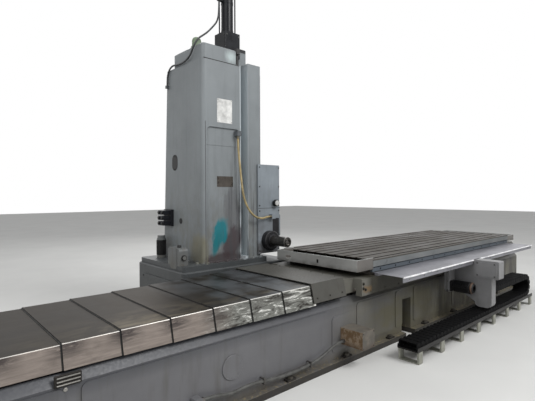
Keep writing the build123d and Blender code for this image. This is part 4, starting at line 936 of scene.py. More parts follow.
class MILL_OT_finishes(bpy.types.Operator):
    """Enamel, sheet steel, ground steel and iron on the nodes of the frame."""

    bl_idname = "mill.finishes"
    bl_label = "Finishes"

    def execute(self, context):
        s = context.scene.mill_paint
        c = context.scene.mill_covers
        box = machine_paint("cover_box_enamel", shade(s.saddle, 0.74), (0.2, 0.18, 0.155), 0.5)
        base = machine_paint(
            "base_enamel", shade(s.column, 0.58), (0.2, 0.2, 0.19), low=0.3, high=0.85
        )
        head = machine_paint("head_enamel", s.head, (0.31, 0.3, 0.3), 0.3, low=0.95, high=1.4)
        post = machine_paint("outrigger_enamel", s.post, (0.36, 0.35, 0.33))
        lube = machine_paint("lube_enamel", (0.42, 0.43, 0.43), dirt=0.6, low=0.8, high=1.0)
        way = ground_steel("column_way_steel", (0.45, 0.45, 0.45), along=(1.0, 1.0, 0.08))
        screw = ground_steel("screw_steel", (0.5, 0.48, 0.46), 0.35, EVEN)
        spindle = ground_steel("spindle_steel", (0.38, 0.37, 0.36), 0.28, (1.0, 0.1, 1.0))
        chrome = ground_steel("chrome_rod", (0.75, 0.76, 0.78), 0.14, (1.0, 1.0, 0.08))
        cylinder = plain_coat("cylinder_enamel", (0.06, 0.07, 0.09), 0.3, specular=0.2)
        motor = plain_coat("motor_black", (0.07, 0.07, 0.075), 0.42)
        pad = plain_coat("pad_steel", (0.2, 0.19, 0.18), 0.6, 0.4)
        for finish, *names in (
            (bed_paint(s.bed), "bed_left", "bed_right", "round_cover_plate"),
            (saddle_paint(s.saddle), "saddle"),
            (box, "left_cover_box", "right_cover_box"),
            (column_paint(s.column), "column", "column_cap"),
            (base, "column_base"),
            (head, "head_casting", "head_cover", "head_lug", "head_boxes"),
            (post, "outrigger_post", "outrigger_arm", "belt_housing"),
            (trough_paint(s.trough), "end_troughs"),
            (rusty_tan(s.tan, s.bed), "junction_box"),
            (cover_steel("cover_steel", c.top, c.skirt), "fixed_covers", *LEFT_COVERS),
            (table_iron((0.29, 0.272, 0.245)), "table"),
            (ground_steel("ground_ways", (0.5, 0.48, 0.45)), "bed_ways", "cross_ways"),
            (way, "column_ways"),
            (screw, "x_screw", "cross_screw", "z_screw"),
            (spindle, "quill", "spindle"),
            (chrome, "balance_rod"),
            (bright_sheet((0.58, 0.58, 0.605)), "gutter"),
            (tray_paint((0.56, 0.56, 0.52), (0.11, 0.105, 0.1)), "chain_tray"),
            (plain_coat("nose_steel", (0.17, 0.17, 0.18), 0.38, 0.5), "nose_plate"),
            (cylinder, "balance_cylinder"),
            (motor, "cross_motor", "head_motor", "feed_knob"),
            (two_tone("z_motor_finish", (0.5, 0.52, 0.53), (0.08, 0.085, 0.1), 3.53), "z_motor"),
            (two_tone("valve_finish", (0.1, 0.105, 0.13), (0.36, 0.375, 0.39), 2.0), "valve_stack"),
            (lube, "lube_unit"),
            (pad, "levelling_pads", "screw_bearings", "cover_end_brackets"),
            (plain_coat("bolt_steel", (0.3, 0.285, 0.26), 0.5, 0.4), "anchor_bolts"),
        ):
            finish_nodes(finish, *names)
        for k, node in enumerate(RIGHT_COVERS):
            own = cover_steel(f"{node}_steel", c.top, c.skirt, PATTERN_SHIFT * (k + 1))
            finish_nodes(own, node)
        return {"FINISHED"}


# Fittings

def grid_places(xs, ys, zs):
    """Every combination of the given x, y and z values."""
    x, y, z = np.meshgrid(xs, ys, zs, indexing="ij")
    return np.stack([x, y, z], -1).reshape(-1, 3)


def on_circle(centre, radius, count, start):
    """Points round a circle in the XZ plane."""
    turn = start + np.arange(count) * 2.0 * math.pi / count
    return np.array(centre) + radius * np.stack([np.cos(turn), 0.0 * turn, np.sin(turn)], 1)


def cover_section(half_width, top, bottom=0.638, corner=0.01, slope=COVER_SLOPE):
    """Section over a cover in the YZ plane: up one skirt, which leans outwards downwards by
    slope, round the corner's arc to the flat top, and the same mirrored down the other."""
    lean = math.atan(slope)
    turn = np.linspace(lean, math.pi / 2, 6)
    middle = half_width - corner * math.tan((math.pi / 2 - lean) / 2)
    arc = np.stack([-middle - corner * np.cos(turn), top - corner + corner * np.sin(turn)], 1)
    height = np.linspace(bottom, arc[0, 1], 4)[:-1]
    skirt = np.stack([-half_width - slope * (top - height), height], 1)
    half = np.concatenate([skirt, arc])
    return np.concatenate([half, half[::-1] * np.array([-1.0, 1.0])])


class MILL_OT_cover_lips(bpy.types.Operator):
    """Folded lip and rubber wiper at the open edge of every telescopic cover."""

    bl_idname = "mill.cover_lips"
    bl_label = "Cover lips and wipers"

    def execute(self, context):
        s = context.scene.mill_covers
        steel = finish_of("left_cover_1")
        rubber = plain_coat("wiper_rubber", (0.06, 0.06, 0.055), 0.6)
        half_width, height, nest, gap = 0.555, 0.817, 0.006, 0.0058
        for side, names, first, pitch, way, reach in (
            ("left", LEFT_COVERS, -1.6, -COVER_PITCH, 1.0, 0.011),
            ("right", RIGHT_COVERS, 3.93, 0.03, -1.0, 0.012),
        ):
            for k, body in enumerate([*names, "bed"]):
                half, top, edge = half_width - nest * k, height - nest * k, first + pitch * k
                ends = sorted((edge - way * 0.002, edge + way * s.lip_width))
                lip = bent_strip(cover_section(half, top), s.lip_height, *ends)
                show(f"{side}_lip_{k + 1}", lip, body, steel)
                if k < len(names):
                    ends = sorted((edge - way * reach, edge - way * 0.001))
                    strip = bent_strip(cover_section(half - gap, top - gap), s.wiper, *ends)
                    show(f"{side}_wiper_{k + 1}", strip, body, rubber)
        return {"FINISHED"}


class MILL_OT_bed_fittings(bpy.types.Operator):
    """Screws of the round plate and the junction box with its gasket, the bolts of the
    bed's joint, the conduit's glands and clips, and the clamp on the bed's shoulder."""

    bl_idname = "mill.bed_fittings"
    bl_label = "Bed fittings"

    def execute(self, context):
        s = context.scene.mill_bed
        steel = plain_coat("fitting_steel", (0.33, 0.32, 0.31), 0.4, 0.75)
        dark = plain_coat("joint_bolt_steel", (0.16, 0.15, 0.14), 0.5, 0.5)
        shiny = ground_steel("clamp_steel", (0.6, 0.59, 0.57), 0.35, metallic=0.5)
        ring = on_circle((-2.162, -0.593, 0.333), s.screw_circle, 6, 0.2)
        corners = grid_places([-0.836, -0.672], [-0.842], [0.205, 0.346])
        gland = rimmed(0.024, 0.002, 0.026)
        glands = together(
            carried(circle(0.021, 6), gland, (-0.846, -0.622, 0.232), LEFT),
            carried(circle(0.021, 6), gland, (-2.47, -0.622, 0.19), X_AXIS),
        )
        pocket = grid_places([0.335, 0.435], [-0.4245], [0.08, 0.18, 0.28, 0.38])
        clips = together(*(
            slab((x - 0.008, front, z + low), (x + 0.008, back, z + high), edge)
            for x, z in ((-1.33, 0.136), (-1.88, 0.153))
            for front, back, low, high, edge in (
                (-0.638, -0.583, -0.024, -0.015, 0.002),
                (-0.638, -0.583, 0.015, 0.024, 0.002),
                (-0.64, -0.637, -0.024, 0.024, 0.001),
            )
        ))
        strips = together(*(
            slab((-3.4, -0.599, z), (-3.272, -0.57, z + 0.006), 0.001)
            for z in (0.568, 0.589, 0.611)
        ))
        disc = rimmed(0.008, 0.003, 0.01)
        disc = carried(circle(0.012, 20), disc, (-3.35, -0.5745, 0.535), FRONT)
        for name, form, finish in (
            ("round_plate_screws", bolt(s.screw * 0.75, 0.0015, FRONT, ring),
             finish_of("round_cover_plate")),
            ("junction_box_screws", bolt(0.006, 0.004, FRONT, corners), steel),
            ("junction_box_gasket",
             slab((-0.848, -0.8305, 0.192), (-0.656, -0.8285, 0.3595), 0.0005), dark),
            ("conduit_glands", glands, steel),
            ("bed_joint_bolts", hex_bolt(s.joint_bolt, 0.02, FRONT, pocket), dark),
            ("conduit_clips", clips, steel),
            ("shoulder_clamp", strips, shiny),
            ("clamp_block", slab((-3.412, -0.59, 0.556), (-3.262, -0.5745, 0.626), 0.003), dark),
            ("clamp_disc", disc, shiny),
        ):
            show(name, form, "bed", finish)
        return {"FINISHED"}


class MILL_OT_saddle_fittings(bpy.types.Operator):
    """Gib screws along the saddle's apron, the bolts at its nose and on the cover boxes."""

    bl_idname = "mill.saddle_fittings"
    bl_label = "Saddle fittings"

    def execute(self, context):
        s = context.scene.mill_saddle
        dark = plain_coat("saddle_bolt_steel", (0.2, 0.19, 0.17), 0.45, 0.6)
        painted = finish_of("saddle")
        face = -0.664
        along = np.arange(-0.46, 3.3, s.gib_pitch)
        along = along[(along < 1.1) | (along > 1.5)]
        rows = grid_places(along, [face], [0.664])
        upper = grid_places(along[4::3] + 0.07, [face], [0.758])
        nose = [(-0.585, face, 0.752), (-0.585, face, 0.705), (-0.548, face, 0.69)]
        lean = math.atan(COVER_SLOPE)
        leaning = (0.0, -math.cos(lean), math.sin(lean))
        sides = grid_places([-1.2, -1.02, -0.84], [-0.5978], [0.7])
        top = grid_places([-0.81], np.linspace(-0.48, 0.48, 7), [0.835])
        for name, form, finish in (
            ("gib_screws", bolt(s.gib_screw, 0.004, FRONT, rows), painted),
            ("apron_bolts", bolt(s.nose_bolt * 0.8, 0.006, FRONT, upper), painted),
            ("nose_bolts", hex_bolt(s.nose_bolt * 0.7, 0.012, FRONT, nose), dark),
            ("cover_box_screws", bolt(0.008, 0.004, leaning, sides), dark),
            ("cover_box_top_screws", bolt(0.008, 0.003, Z_AXIS, top), dark),
        ):
            show(name, form, "saddle", finish)
        return {"FINISHED"}


class MILL_OT_gutter_fittings(bpy.types.Operator):
    """Rolled bead along the gutter's lip, painted near white as a highlight, and the screws on its
    face.
    """

    bl_idname = "mill.gutter_fittings"
    bl_label = "Gutter fittings"

    def execute(self, context):
        s = context.scene.mill_gutter
        # Painted highlight: the bead is coloured near white to stand for the bright line along the
        # lip.
        bright = plain_coat("bead_painted_highlight", (0.9, 0.9, 0.92), 0.3, wear=0.0)
        bead = together(*(
            tube_along(grid_places(np.linspace(*ends, 30), [-0.9575], [0.8185]), s.bead, 12)
            for ends in ((-0.326, 1.325), (1.525, 3.574))
        ))
        show("gutter_bead", bead, "saddle", bright, True)
        xs = np.arange(-0.2, 3.5, s.screw_pitch)
        places = grid_places(xs[(xs < 1.3) | (xs > 1.55)], [-0.95], [0.792])
        steel = plain_coat("gutter_screw_steel", (0.5, 0.5, 0.48), 0.35, 0.8)
        show("gutter_screws", bolt(0.006, 0.003, FRONT, places), "saddle", steel)
        return {"FINISHED"}


class MILL_OT_table_fittings(bpy.types.Operator):
    """Plugs in the table's side holes, the trough's drain and the troughs' folded rims."""

    bl_idname = "mill.table_fittings"
    bl_label = "Table fittings"

    def execute(self, context):
        s = context.scene.mill_table
        dark = plain_coat("plug_black", (0.05, 0.05, 0.05), 0.5, 0.3)
        middle, pitch, count = 1.624, 0.3, 13
        xs = middle + pitch * (np.arange(count) - count // 2)
        holes = grid_places(xs, [-0.588], [0.8505])
        show("side_hole_plugs", bolt(0.0115, 0.002, FRONT, holes), "table", dark)
        slot = rectangle(0.024, 0.038, 0.004, 2)
        drain = carried(slot, rimmed(0.002, 0.002, 0.003), (-0.605, -0.072, 0.916), LEFT)
        show("trough_drain", drain, "table", dark)
        bright = plain_coat("rim_metal", (0.72, 0.73, 0.72), 0.35, 0.4)
        front, back, bend = -0.601, 0.575, 0.012
        quarter = np.linspace(0.0, math.pi / 2, 5)
        sine, cosine = bend * np.sin(quarter), bend * np.cos(quarter)
        for side, near, far, height in (
            ("left", -0.326, -0.602, 0.9795), ("right", 3.574, 3.85, 0.9495),
        ):
            out = np.sign(far - near)
            first = np.stack([far - out * bend + out * sine, front + bend - cosine], 1)
            second = np.stack([far - out * bend + out * cosine, back - bend + sine], 1)
            plan = np.concatenate([[[near, front]], first, second, [[near, back]]])
            path = np.column_stack([plan, np.full(len(plan), height)])
            show(f"{side}_trough_hem", tube_along(path, s.hem, 10), "table", bright, True)
        return {"FINISHED"}


def shell(radius, fin, fins, length, place, out, inset=0.004):
    """Finned motor shell with its rims inset."""
    profile = [(-inset, 0.0), (0.0, inset), (0.0, length), (-inset, length + inset)]
    return carried(finned(radius, fin, fins), profile, place, out)


class MILL_OT_drive_fittings(bpy.types.Operator):
    """Finned shells, end bells and boxes of the motors, and the outrigger's lid screws."""

    bl_idname = "mill.drive_fittings"
    bl_label = "Drive fittings"

    def execute(self, context):
        s = context.scene.mill_drive
        black = finish_of("cross_motor")
        brown = plain_coat("end_bell_brown", (0.3, 0.24, 0.2), 0.5, 0.2)
        steel = plain_coat("outrigger_screw_steel", (0.3, 0.3, 0.29), 0.45, 0.6)
        bell = [(0.0, 0.0), (0.0, 0.012), (-0.008, 0.02), (-0.03, 0.022), (-0.04, 0.03),
                (-0.055, 0.03)]
        bell = carried(circle(0.071, 40), bell, (1.245, -0.97, 0.48), FRONT)
        cap = [(0.0, 0.0), (0.0, 0.06), (-0.01, 0.07), (-0.09, 0.072)]
        cap = carried(circle(0.133, 48), cap, (-0.365, 2.135, 1.79), BACK)
        small = shell(0.068, s.fin_height, s.fins, 0.19, (1.245, -0.765, 0.48), FRONT)
        large = (0.131, s.fin_height * 1.2, s.fins + 12, 0.3, (-0.365, 1.8, 1.79), BACK)
        lid = grid_places([1.337], [-1.2, -1.00], [0.64, 0.79])
        guard = grid_places([1.165], [-0.7], np.linspace(0.43, 0.76, 4))
        seam = slab((1.163, -0.697, 0.402), (1.3265, -0.6945, 0.788), 0.0006)
        for name, form, body, finish, smooth in (
            ("cross_motor_fins", small, "saddle", black, False),
            ("cross_motor_bell", bell, "saddle", brown, True),
            ("head_motor_fins", shell(*large), "head", black, False),
            ("head_motor_cowl", cap, "head", black, True),
            ("head_motor_box", slab((-0.415, 1.86, 1.905), (-0.315, 1.98, 1.965), 0.006), "head",
             black, False),
            ("outrigger_screws", bolt(0.009, 0.005, LEFT, lid), "saddle", steel, False),
            ("belt_housing_screws", bolt(0.006, 0.004, LEFT, guard), "saddle", steel, False),
            ("belt_housing_seam", seam, "saddle", black, False),
        ):
            show(name, form, body, finish, smooth)
        return {"FINISHED"}


CHAIN_START, CHAIN_TURN, CHAIN_TOP = -0.342, 2.82, 1.49
CHAIN_MIDDLE, CHAIN_RADIUS, CHAIN_HEIGHT = 0.3, 0.13, 0.0785
CHAIN_LOW, CHAIN_HIGH = 0.168, 0.43
CHAIN_FRONT, CHAIN_BACK = -1.107, -0.907


def chain_link(pitch, cheek):
    """One chain link about the origin in x and z: two round-ended side plates, a boss on
    the front one, and a bar across at its top and at its foot."""
    outline = rectangle(pitch * 0.95, CHAIN_HEIGHT, CHAIN_HEIGHT * 0.3, 2)
    profile = [(-0.002, 0.0), (0.0, 0.002), (0.0, cheek - 0.002), (-0.002, cheek)]
    near, far = CHAIN_FRONT + cheek, CHAIN_BACK - cheek
    plates = [carried(outline, profile, (0.0, y, 0.0), FRONT) for y in (near, CHAIN_BACK)]
    place = (0.0, CHAIN_FRONT + 0.0002, 0.0)
    boss = carried(circle(CHAIN_HEIGHT * 0.2, 10), rimmed(0.0016, 0.002, 0.002), place, FRONT)
    bar = rectangle(pitch * 0.86, CHAIN_HEIGHT * 0.08, 0.002, 1)
    bars = [
        carried(bar, [(0.0, 0.0), (0.0, far - near)], (0.0, far, z), FRONT)
        for z in (-CHAIN_HEIGHT * 0.42, CHAIN_HEIGHT * 0.42)
    ]
    return together(*plates, boss, *bars)


class MILL_OT_energy_chain(bpy.types.Operator):
    """Links of the cable chain: a lower run in its tray, an upper run and the loop."""

    bl_idname = "mill.energy_chain"
    bl_label = "Cable chain"

    def execute(self, context):
        s = context.scene.mill_chain
        black = plain_coat("chain_plastic", (0.022, 0.022, 0.027), 0.68, specular=0.12)

        def run(name, count, start, height, body):
            """A straight run of links from start to the loop."""
            pitch = (CHAIN_TURN - start) / count
            places = grid_places(start + pitch * (np.arange(count) + 0.5), [0.0], [height])
            return show(name, repeated(chain_link(pitch, s.cheek), places), body, black)

        lower = run("chain_lower_links", s.lower_links, CHAIN_START, CHAIN_LOW, "bed")
        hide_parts("chain_lower_run")
        upper = run("chain_upper_links", s.upper_links, CHAIN_TOP, CHAIN_HIGH, None)
        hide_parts("chain_upper_run")

        step = math.pi / s.loop_links
        points, quads, threes = chain_link(step * CHAIN_RADIUS * 1.05, s.cheek)
        x, y, z = points.T
        links = []
        for turn in -math.pi / 2 + (np.arange(s.loop_links) + 0.5) * step:
            cos, sin = math.cos(turn), math.sin(turn)
            across = CHAIN_TURN + CHAIN_RADIUS * cos - x * sin - z * cos
            height = CHAIN_MIDDLE + CHAIN_RADIUS * sin + x * cos - z * sin
            links.append((np.stack([across, y, height], 1), quads, threes))
        loop = show("chain_loop_links", together(*links), "chain_loop", black)
        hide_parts("chain_loop")
        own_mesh(lower)
        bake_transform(upper)
        return {"FINISHED"}


class MILL_OT_column_fittings(bpy.types.Operator):
    """Holding-down bolts, blank plates, cap breather and hand-hole lids of the column."""

    bl_idname = "mill.column_fittings"
    bl_label = "Column fittings"

    def execute(self, context):
        s = context.scene.mill_column
        dark = plain_coat("column_bolt_steel", (0.22, 0.22, 0.22), 0.45, 0.6)
        white = plain_coat("white_plate", (0.85, 0.85, 0.84), 0.4)
        tin = plain_coat("dark_plate", (0.32, 0.3, 0.28), 0.3, 0.6)
        green = plain_coat("breather_green", (0.46, 0.52, 0.43), 0.45)
        flange = np.concatenate([
            grid_places(np.arange(-1.38, -0.55, 0.135), [0.926], [0.848]),
            grid_places([-1.465], np.arange(1.02, 1.7, 0.19), [0.848]),
        ])
        seams = together(
            slab((-1.405, 0.9562, 3.236), (-0.882, 0.9575, 3.246), 0.0003),
            slab((-1.4205, 1.000, 3.234), (-1.4185, 1.64, 3.244), 0.0003),
        )
        upper, lower = 0.957 - s.plate, 0.979 - s.plate
        rivets = np.concatenate([
            grid_places([-1.208, -1.012], [upper], [2.527, 2.784]),
            grid_places([-1.201, -0.984], [lower], [1.757, 1.863]),
        ])
        dome = [(0.012, 0.0), (0.012, 0.012), (0.0, 0.016), (0.0, 0.08), (-0.004, 0.1),
                (-0.014, 0.117), (-0.03, 0.126), (-0.048, 0.129)]
        breather = carried(circle(0.056, 36), dome, (-1.338, 1.21, 3.424), Z_AXIS)
        lid = rimmed(0.003, 0.003, 0.004)
        lids = together(
            carried(rectangle(0.13, 0.2, 0.064, 6), lid, (-1.424, 1.6, 2.06), LEFT),
            carried(circle(0.035, 28), lid, (-1.424, 1.458, 1.326), LEFT),
        )
        screws = np.concatenate([
            grid_places([-1.428], [1.6], [1.975, 2.145]),
            grid_places([-1.746], [1.04, 1.84], [0.14, 0.64]),
        ])
        bracket = together(
            slab((-0.905, 0.99, 3.248), (-0.872, 1.02, 3.4), 0.003),
            slab((-0.915, 0.965, 3.385), (-0.865, 1.025, 3.455), 0.004),
        )
        ends = grid_places([-0.509], [1.02, 1.1, 1.58, 1.66], np.arange(0.96, 3.2, 0.28))
        for name, form, finish, smooth in (
            ("column_flange_bolts", hex_bolt(s.flange_bolt * 0.9, 0.018, Z_AXIS, flange),
             finish_of("column"), False),
            ("cap_seam", seams, dark, False),
            ("upper_blank_plate", slab((-1.22, upper, 2.514), (-1.000, 0.957, 2.797), 0.0006),
             white, False),
            ("lower_blank_plate", slab((-1.211, lower, 1.746), (-0.974, 0.979, 1.874), 0.0006),
             tin, False),
            ("plate_rivets", bolt(0.0045, 0.002, FRONT, rivets), dark, False),
            ("cap_breather", breather, green, True),
            ("hand_hole_lids", lids, dark, False),
            ("column_side_screws", bolt(0.01, 0.005, LEFT, screws), dark, False),
            ("cap_bracket", bracket, dark, False),
            ("column_way_screws", bolt(0.009, 0.0015, X_AXIS, ends), dark, False),
        ):
            show(name, form, "bed", finish, smooth)
        return {"FINISHED"}


class MILL_OT_cylinder_fittings(bpy.types.Operator):
    """Tie rod nuts, block screws and the hoops round the balance cylinder."""

    bl_idname = "mill.cylinder_fittings"
    bl_label = "Balance cylinder fittings"

    def execute(self, context):
        s = context.scene.mill_cylinder
        steel = plain_coat("nut_steel", (0.35, 0.35, 0.34), 0.4, 0.7)
        hoop_heights = (3.76, 4.13, 4.55)
        apart = np.array([-TIE_ROD, TIE_ROD])
        rods = grid_places(CYLINDER_X + apart, CYLINDER_Y + apart, [3.74])
        show("tie_rod_nuts", hex_bolt(s.nut, 0.016, Z_AXIS, rods), "bed", steel)
        heights = [3.47, 3.7]
        face = grid_places([-0.905, -0.715], [1.187], heights)
        show("cylinder_block_screws", bolt(0.01, 0.006, FRONT, face), "bed", steel)
        side = grid_places([-0.93], [1.212, 1.402], heights)
        show("cylinder_side_screws", bolt(0.01, 0.006, LEFT, side), "bed", steel)
        band = [(-0.002, 0.0), (0.003, 0.002), (0.003, 0.032), (-0.002, 0.034)]
        hoops = together(*(hoop(0.0775, band, (CYLINDER_X, CYLINDER_Y, z)) for z in hoop_heights))
        show("cylinder_bands", hoops, "bed", finish_of("balance_cylinder"), True)
        return {"FINISHED"}


class MILL_OT_head_fittings(bpy.types.Operator):
    """Seam, lid screws, knob face, nose collar, dark plate and guard screws of the head."""

    bl_idname = "mill.head_fittings"
    bl_label = "Head fittings"

    def execute(self, context):
        s = context.scene.mill_head
        dark = plain_coat("head_screw_steel", (0.15, 0.15, 0.15), 0.42, 0.5)
        light = plain_coat("knob_face_metal", (0.78, 0.78, 0.77), 0.3, 0.6)
        black = finish_of("nose_plate")
        screws = np.concatenate([
            grid_places([-0.585, -0.25], [0.93], heights)
            for heights in ([1.51, 1.755, 2.005], [0.925, 1.44])
        ])
        nose = (SPINDLE_X, 0.85, SPINDLE_Z)
        knob = [(0.0, 0.0), (0.0, 0.002), (-0.003, 0.003), (-0.02, 0.002)]
        knob = carried(circle(s.knob_ring, 36), knob, (-0.33, 0.87, 1.54), FRONT)
        collar = [(0.0, 0.0), (0.0, 0.012), (-0.004, 0.016), (-0.012, 0.016)]
        collar = carried(circle(0.082, 48), collar, nose, FRONT)
        seam = slab((-0.607, 0.9288, 1.4725), (-0.225, 0.9302, 1.4775), 0.0004)
        guard = grid_places([-0.174], [1.0, 1.14], [1.12, 1.36])
        side = grid_places([-0.224], [1.22, 1.66], [0.93, 1.43])
        for name, form, finish, smooth in (
            ("head_seam", seam, dark, False),
            ("head_screws", bolt(s.screw, 0.005, FRONT, screws), dark, False),
            ("knob_face", knob, light, True),
            ("nose_ring_screws", bolt(0.008, 0.004, FRONT, on_circle(nose, 0.107, 8, 0.39)), dark,
             False),
            ("nose_collar", collar, black, True),
            ("guard_screws", bolt(0.006, 0.004, X_AXIS, guard), dark, False),
            ("head_side_screws", bolt(0.012, 0.007, X_AXIS, side), dark, False),
            ("head_dark_plate", slab((-0.36, 0.9285, 1.1), (-0.245, 0.9302, 1.34), 0.0005),
             black, False),
        ):
            show(name, form, "head", finish, smooth)
        return {"FINISHED"}


class MILL_OT_spindle_fittings(bpy.types.Operator):
    """End ring of the quill and the drive keys of the spindle."""

    bl_idname = "mill.spindle_fittings"
    bl_label = "Spindle fittings"

    def execute(self, context):
        s = context.scene.mill_spindle
        bright = ground_steel("end_ring_steel", (0.5, 0.49, 0.48), 0.25, (1.0, 0.1, 1.0))
        band = [(0.0, 0.0), (0.0012, 0.0008), (0.0012, s.ring), (0.0, s.ring + 0.0008)]
        ring = carried(circle(0.0635, 48), band, (SPINDLE_X, 0.59, SPINDLE_Z), FRONT)
        show("quill_end_ring", ring, "quill", bright, True)
        foot, head = SPINDLE_Z - 0.007, SPINDLE_Z + 0.007
        keys = together(*(
            slab((x - 0.004, 0.561, foot), (x + 0.004, 0.567, head), 0.001)
            for x in (SPINDLE_X - 0.0425, SPINDLE_X + 0.0425)
        ))
        show("spindle_drive_keys", keys, "spindle", bright)
        return {"FINISHED"}


def route_curve(name, points, diameter=0.0):
    """Open spline whose control points are the route's own points."""
    data = bpy.data.curves.new(name, "CURVE")
    data.dimensions = "3D"
    data.resolution_u = 10
    data.bevel_depth = diameter / 2
    data.bevel_resolution = 5
    data.use_fill_caps = diameter > 0.0
    line = data.splines.new("NURBS")
    line.points.add(len(points) - 1)
    for spot, place in zip(line.points, points):
        spot.co = (*place, 1.0)
    line.order_u = 3
    line.use_endpoint_u = True
    curve = bpy.data.objects.new(name, data)
    bpy.context.scene.collection.objects.link(curve)
    return curve


CONDUIT_ROUTE = [
    (-0.8463, -0.622, 0.232), (-0.98, -0.622, 0.232), (-1.18, -0.622, 0.15),
    (-1.49, -0.622, 0.122), (-1.76, -0.622, 0.134), (-2.01, -0.622, 0.172),
    (-2.21, -0.622, 0.15), (-2.35, -0.622, 0.19), (-2.4697, -0.622, 0.19),
]
HOSE_ROUTE = [
    (-0.93, 0.93, 2.3697), (-0.93, 0.93, 2.25), (-0.922, 0.912, 2.06),
    (-0.912, 0.893, 1.85), (-0.893, 0.88, 1.65), (-0.85, 0.868, 1.52),
    (-0.785, 0.864, 1.425), (-0.69, 0.868, 1.362), (-0.575, 0.878, 1.345),
    (-0.5, 0.886, 1.366), (-0.4203, 0.886, 1.366),
]
# The route above is the hose's, from the column down to the head; its lower part
# lies mostly along X.
CABLE_ROUTE = [
    (-0.938, 1.307, 4.1497), (-0.938, 1.307, 4.01), (-0.975, 1.292, 3.87),
    (-1.107, 1.22, 3.735), (-1.225, 1.15, 3.625), (-1.33, 1.095, 3.545),
    (-1.415, 1.062, 3.48), (-1.46, 1.085, 3.385), (-1.446, 1.18, 3.305),
    (-1.44, 1.32, 3.262), (-1.44, 1.49, 3.262), (-1.44, 1.6, 3.288),
    (-1.44, 1.69, 3.262), (-1.44, 1.745, 3.19), (-1.44, 1.755, 3.11),
    (-1.44, 1.755, 3.0603),
]


class MILL_OT_cords(bpy.types.Operator):
    """Conduit along the bed, cable down the column and the hose from column to head."""

    bl_idname = "mill.cords"
    bl_label = "Hoses and cables"

    def execute(self, context):
        s = context.scene.mill_cords
        grey = ribbed_hose((0.33, 0.33, 0.32), "conduit_rubber")
        black = ribbed_hose((0.25, 0.255, 0.26), "cable_rubber")
        yellow = ribbed_hose(s.hose_colour, "hose_rubber")
        for name, node, route, width, finish, length, lay in (
            ("conduit", "conduit_cable", CONDUIT_ROUTE, s.conduit, grey, 1.641, "loose"),
            ("column_cable", "top_cable", CABLE_ROUTE, s.cable, black, 1.867, "hanging"),
        ):
            cable = route_curve(name, route, width)
            cable.data.materials.append(finish)
            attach(cable, "bed")
            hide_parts(node)
            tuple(route[0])

        guide = route_curve("hose_guide", HOSE_ROUTE)
        bpy.context.view_layer.update()
        line = bpy.data.meshes.new_from_object(guide)
        path = np.zeros(len(line.vertices) * 3)
        line.vertices.foreach_get("co", path)
        path = path.reshape(-1, 3)
        bpy.data.objects.remove(guide)
        hose = show("head_hose", tube_along(path, s.hose / 2, 18), None, yellow, True)
        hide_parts("yellow_hose")
        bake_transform(hose)
        [tuple(p) for p in path]
        steel = plain_coat("ferrule_steel", (0.45, 0.43, 0.38), 0.35, 0.8)
        sleeve = [(0.0, 0.0), (0.001, 0.001), (0.001, 0.03), (0.0, 0.031)]
        for name, place, out, body in (
            ("hose_upper_ferrule", (-0.93, 0.93, 2.339), Z_AXIS, "bed"),
            ("hose_lower_ferrule", (-0.451, 0.886, 1.366), X_AXIS, "head"),
        ):
            show(name, carried(circle(0.017, 24), sleeve, place, out), body, steel, True)
        return {"FINISHED"}


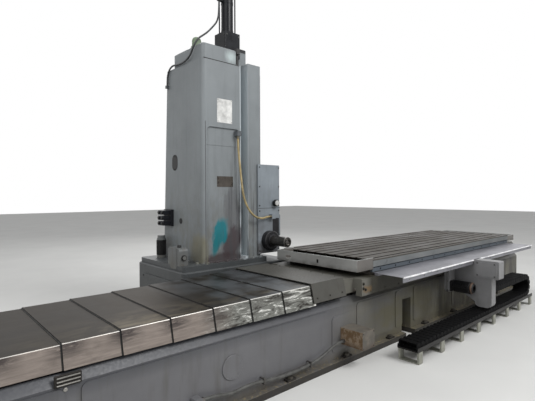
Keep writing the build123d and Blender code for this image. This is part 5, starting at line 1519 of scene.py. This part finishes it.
class MILL_OT_lube_fittings(bpy.types.Operator):
    """Gauge, filler cap and lid of the lubrication unit, plugs of the valve stack."""

    bl_idname = "mill.lube_fittings"
    bl_label = "Lubrication fittings"

    def execute(self, context):
        s = context.scene.mill_lube
        black = plain_coat("gauge_black", (0.06, 0.06, 0.06), 0.4)
        pale = plain_coat("gauge_face", (0.4, 0.4, 0.39), 0.3)
        rim = [(0.0, 0.0), (0.0, 0.018), (-0.003, 0.022), (-0.005, 0.022), (-0.006, 0.019)]
        cap = [(0.0, 0.0), (0.0, 0.02), (-0.004, 0.026), (-0.014, 0.028)]
        body = carried(circle(s.gauge, 32), rim, (-1.655, 1.000, 0.94), FRONT)
        dial = [(0.0, 0.0), (0.0, 0.0006)]
        dial = carried(circle(s.gauge * 0.78, 32), dial, (-1.655, 0.9802, 0.94), FRONT)
        lid = rectangle(0.15, 0.244, 0.03, 4)
        lid = carried(lid, rimmed(0.003, 0.002, 0.004), (-1.712, 1.13, 0.93), LEFT)
        cap = carried(circle(0.024, 24), cap, (-1.655, 1.1, 1.048), Z_AXIS)
        fins = shell(0.057, 0.005, 22, 0.19, (-1.516, 1.8, 0.88), Z_AXIS, 0.003)
        plug = carried(circle(s.plug, 6), rimmed(0.014, 0.003, 0.017), ORIGIN, LEFT)
        plugs = repeated(plug, grid_places([-1.554], [1.69, 1.78], [1.29, 1.358, 1.426]))
        for name, form, finish, smooth in (
            ("gauge_body", body, black, True),
            ("gauge_dial", dial, pale, False),
            ("lube_side_lid", lid, finish_of("lube_unit"), False),
            ("filler_cap", cap, black, True),
            ("pump_fins", fins, black, False),
            ("valve_plugs", plugs, black, False),
        ):
            show(name, form, "bed", finish, smooth)
        return {"FINISHED"}


OPERATORS = (
    MILL_OT_stage,
    MILL_OT_finishes,
    MILL_OT_cover_lips,
    MILL_OT_bed_fittings,
    MILL_OT_saddle_fittings,
    MILL_OT_gutter_fittings,
    MILL_OT_table_fittings,
    MILL_OT_drive_fittings,
    MILL_OT_energy_chain,
    MILL_OT_column_fittings,
    MILL_OT_cylinder_fittings,
    MILL_OT_head_fittings,
    MILL_OT_spindle_fittings,
    MILL_OT_cords,
    MILL_OT_lube_fittings,
)


class MILL_PT_panel(bpy.types.Panel):
    """Lists the pieces and their sizes in the sidebar."""

    bl_idname = "MILL_PT_panel"
    bl_label = "Boring mill"
    bl_space_type = "VIEW_3D"
    bl_region_type = "UI"
    bl_category = "Boring mill"

    def draw(self, context):
        for operator in OPERATORS:
            self.layout.operator(operator.bl_idname, text=operator.bl_label)
        for name, group in SETTINGS.items():
            box = self.layout.box()
            for field in group.__annotations__:
                box.prop(getattr(context.scene, name), field)


def register():
    for group in SETTINGS.values():
        bpy.utils.register_class(group)
    for name, group in SETTINGS.items():
        setattr(bpy.types.Scene, name, bpy.props.PointerProperty(type=group))
    for cls in (*OPERATORS, MILL_PT_panel):
        bpy.utils.register_class(cls)


def unregister():
    for cls in (MILL_PT_panel, *reversed(OPERATORS)):
        bpy.utils.unregister_class(cls)
    for name in SETTINGS:
        delattr(bpy.types.Scene, name)
    for group in reversed(SETTINGS.values()):
        bpy.utils.unregister_class(group)


def main():
    register()
    for operator in OPERATORS:
        family, action = operator.bl_idname.split(".")
        result = getattr(getattr(bpy.ops, family), action)()
        if result != {"FINISHED"}:
            raise RuntimeError(f"{operator.bl_label} did not finish")
    bpy.context.view_layer.update()


if __name__ == "__main__":
    main()
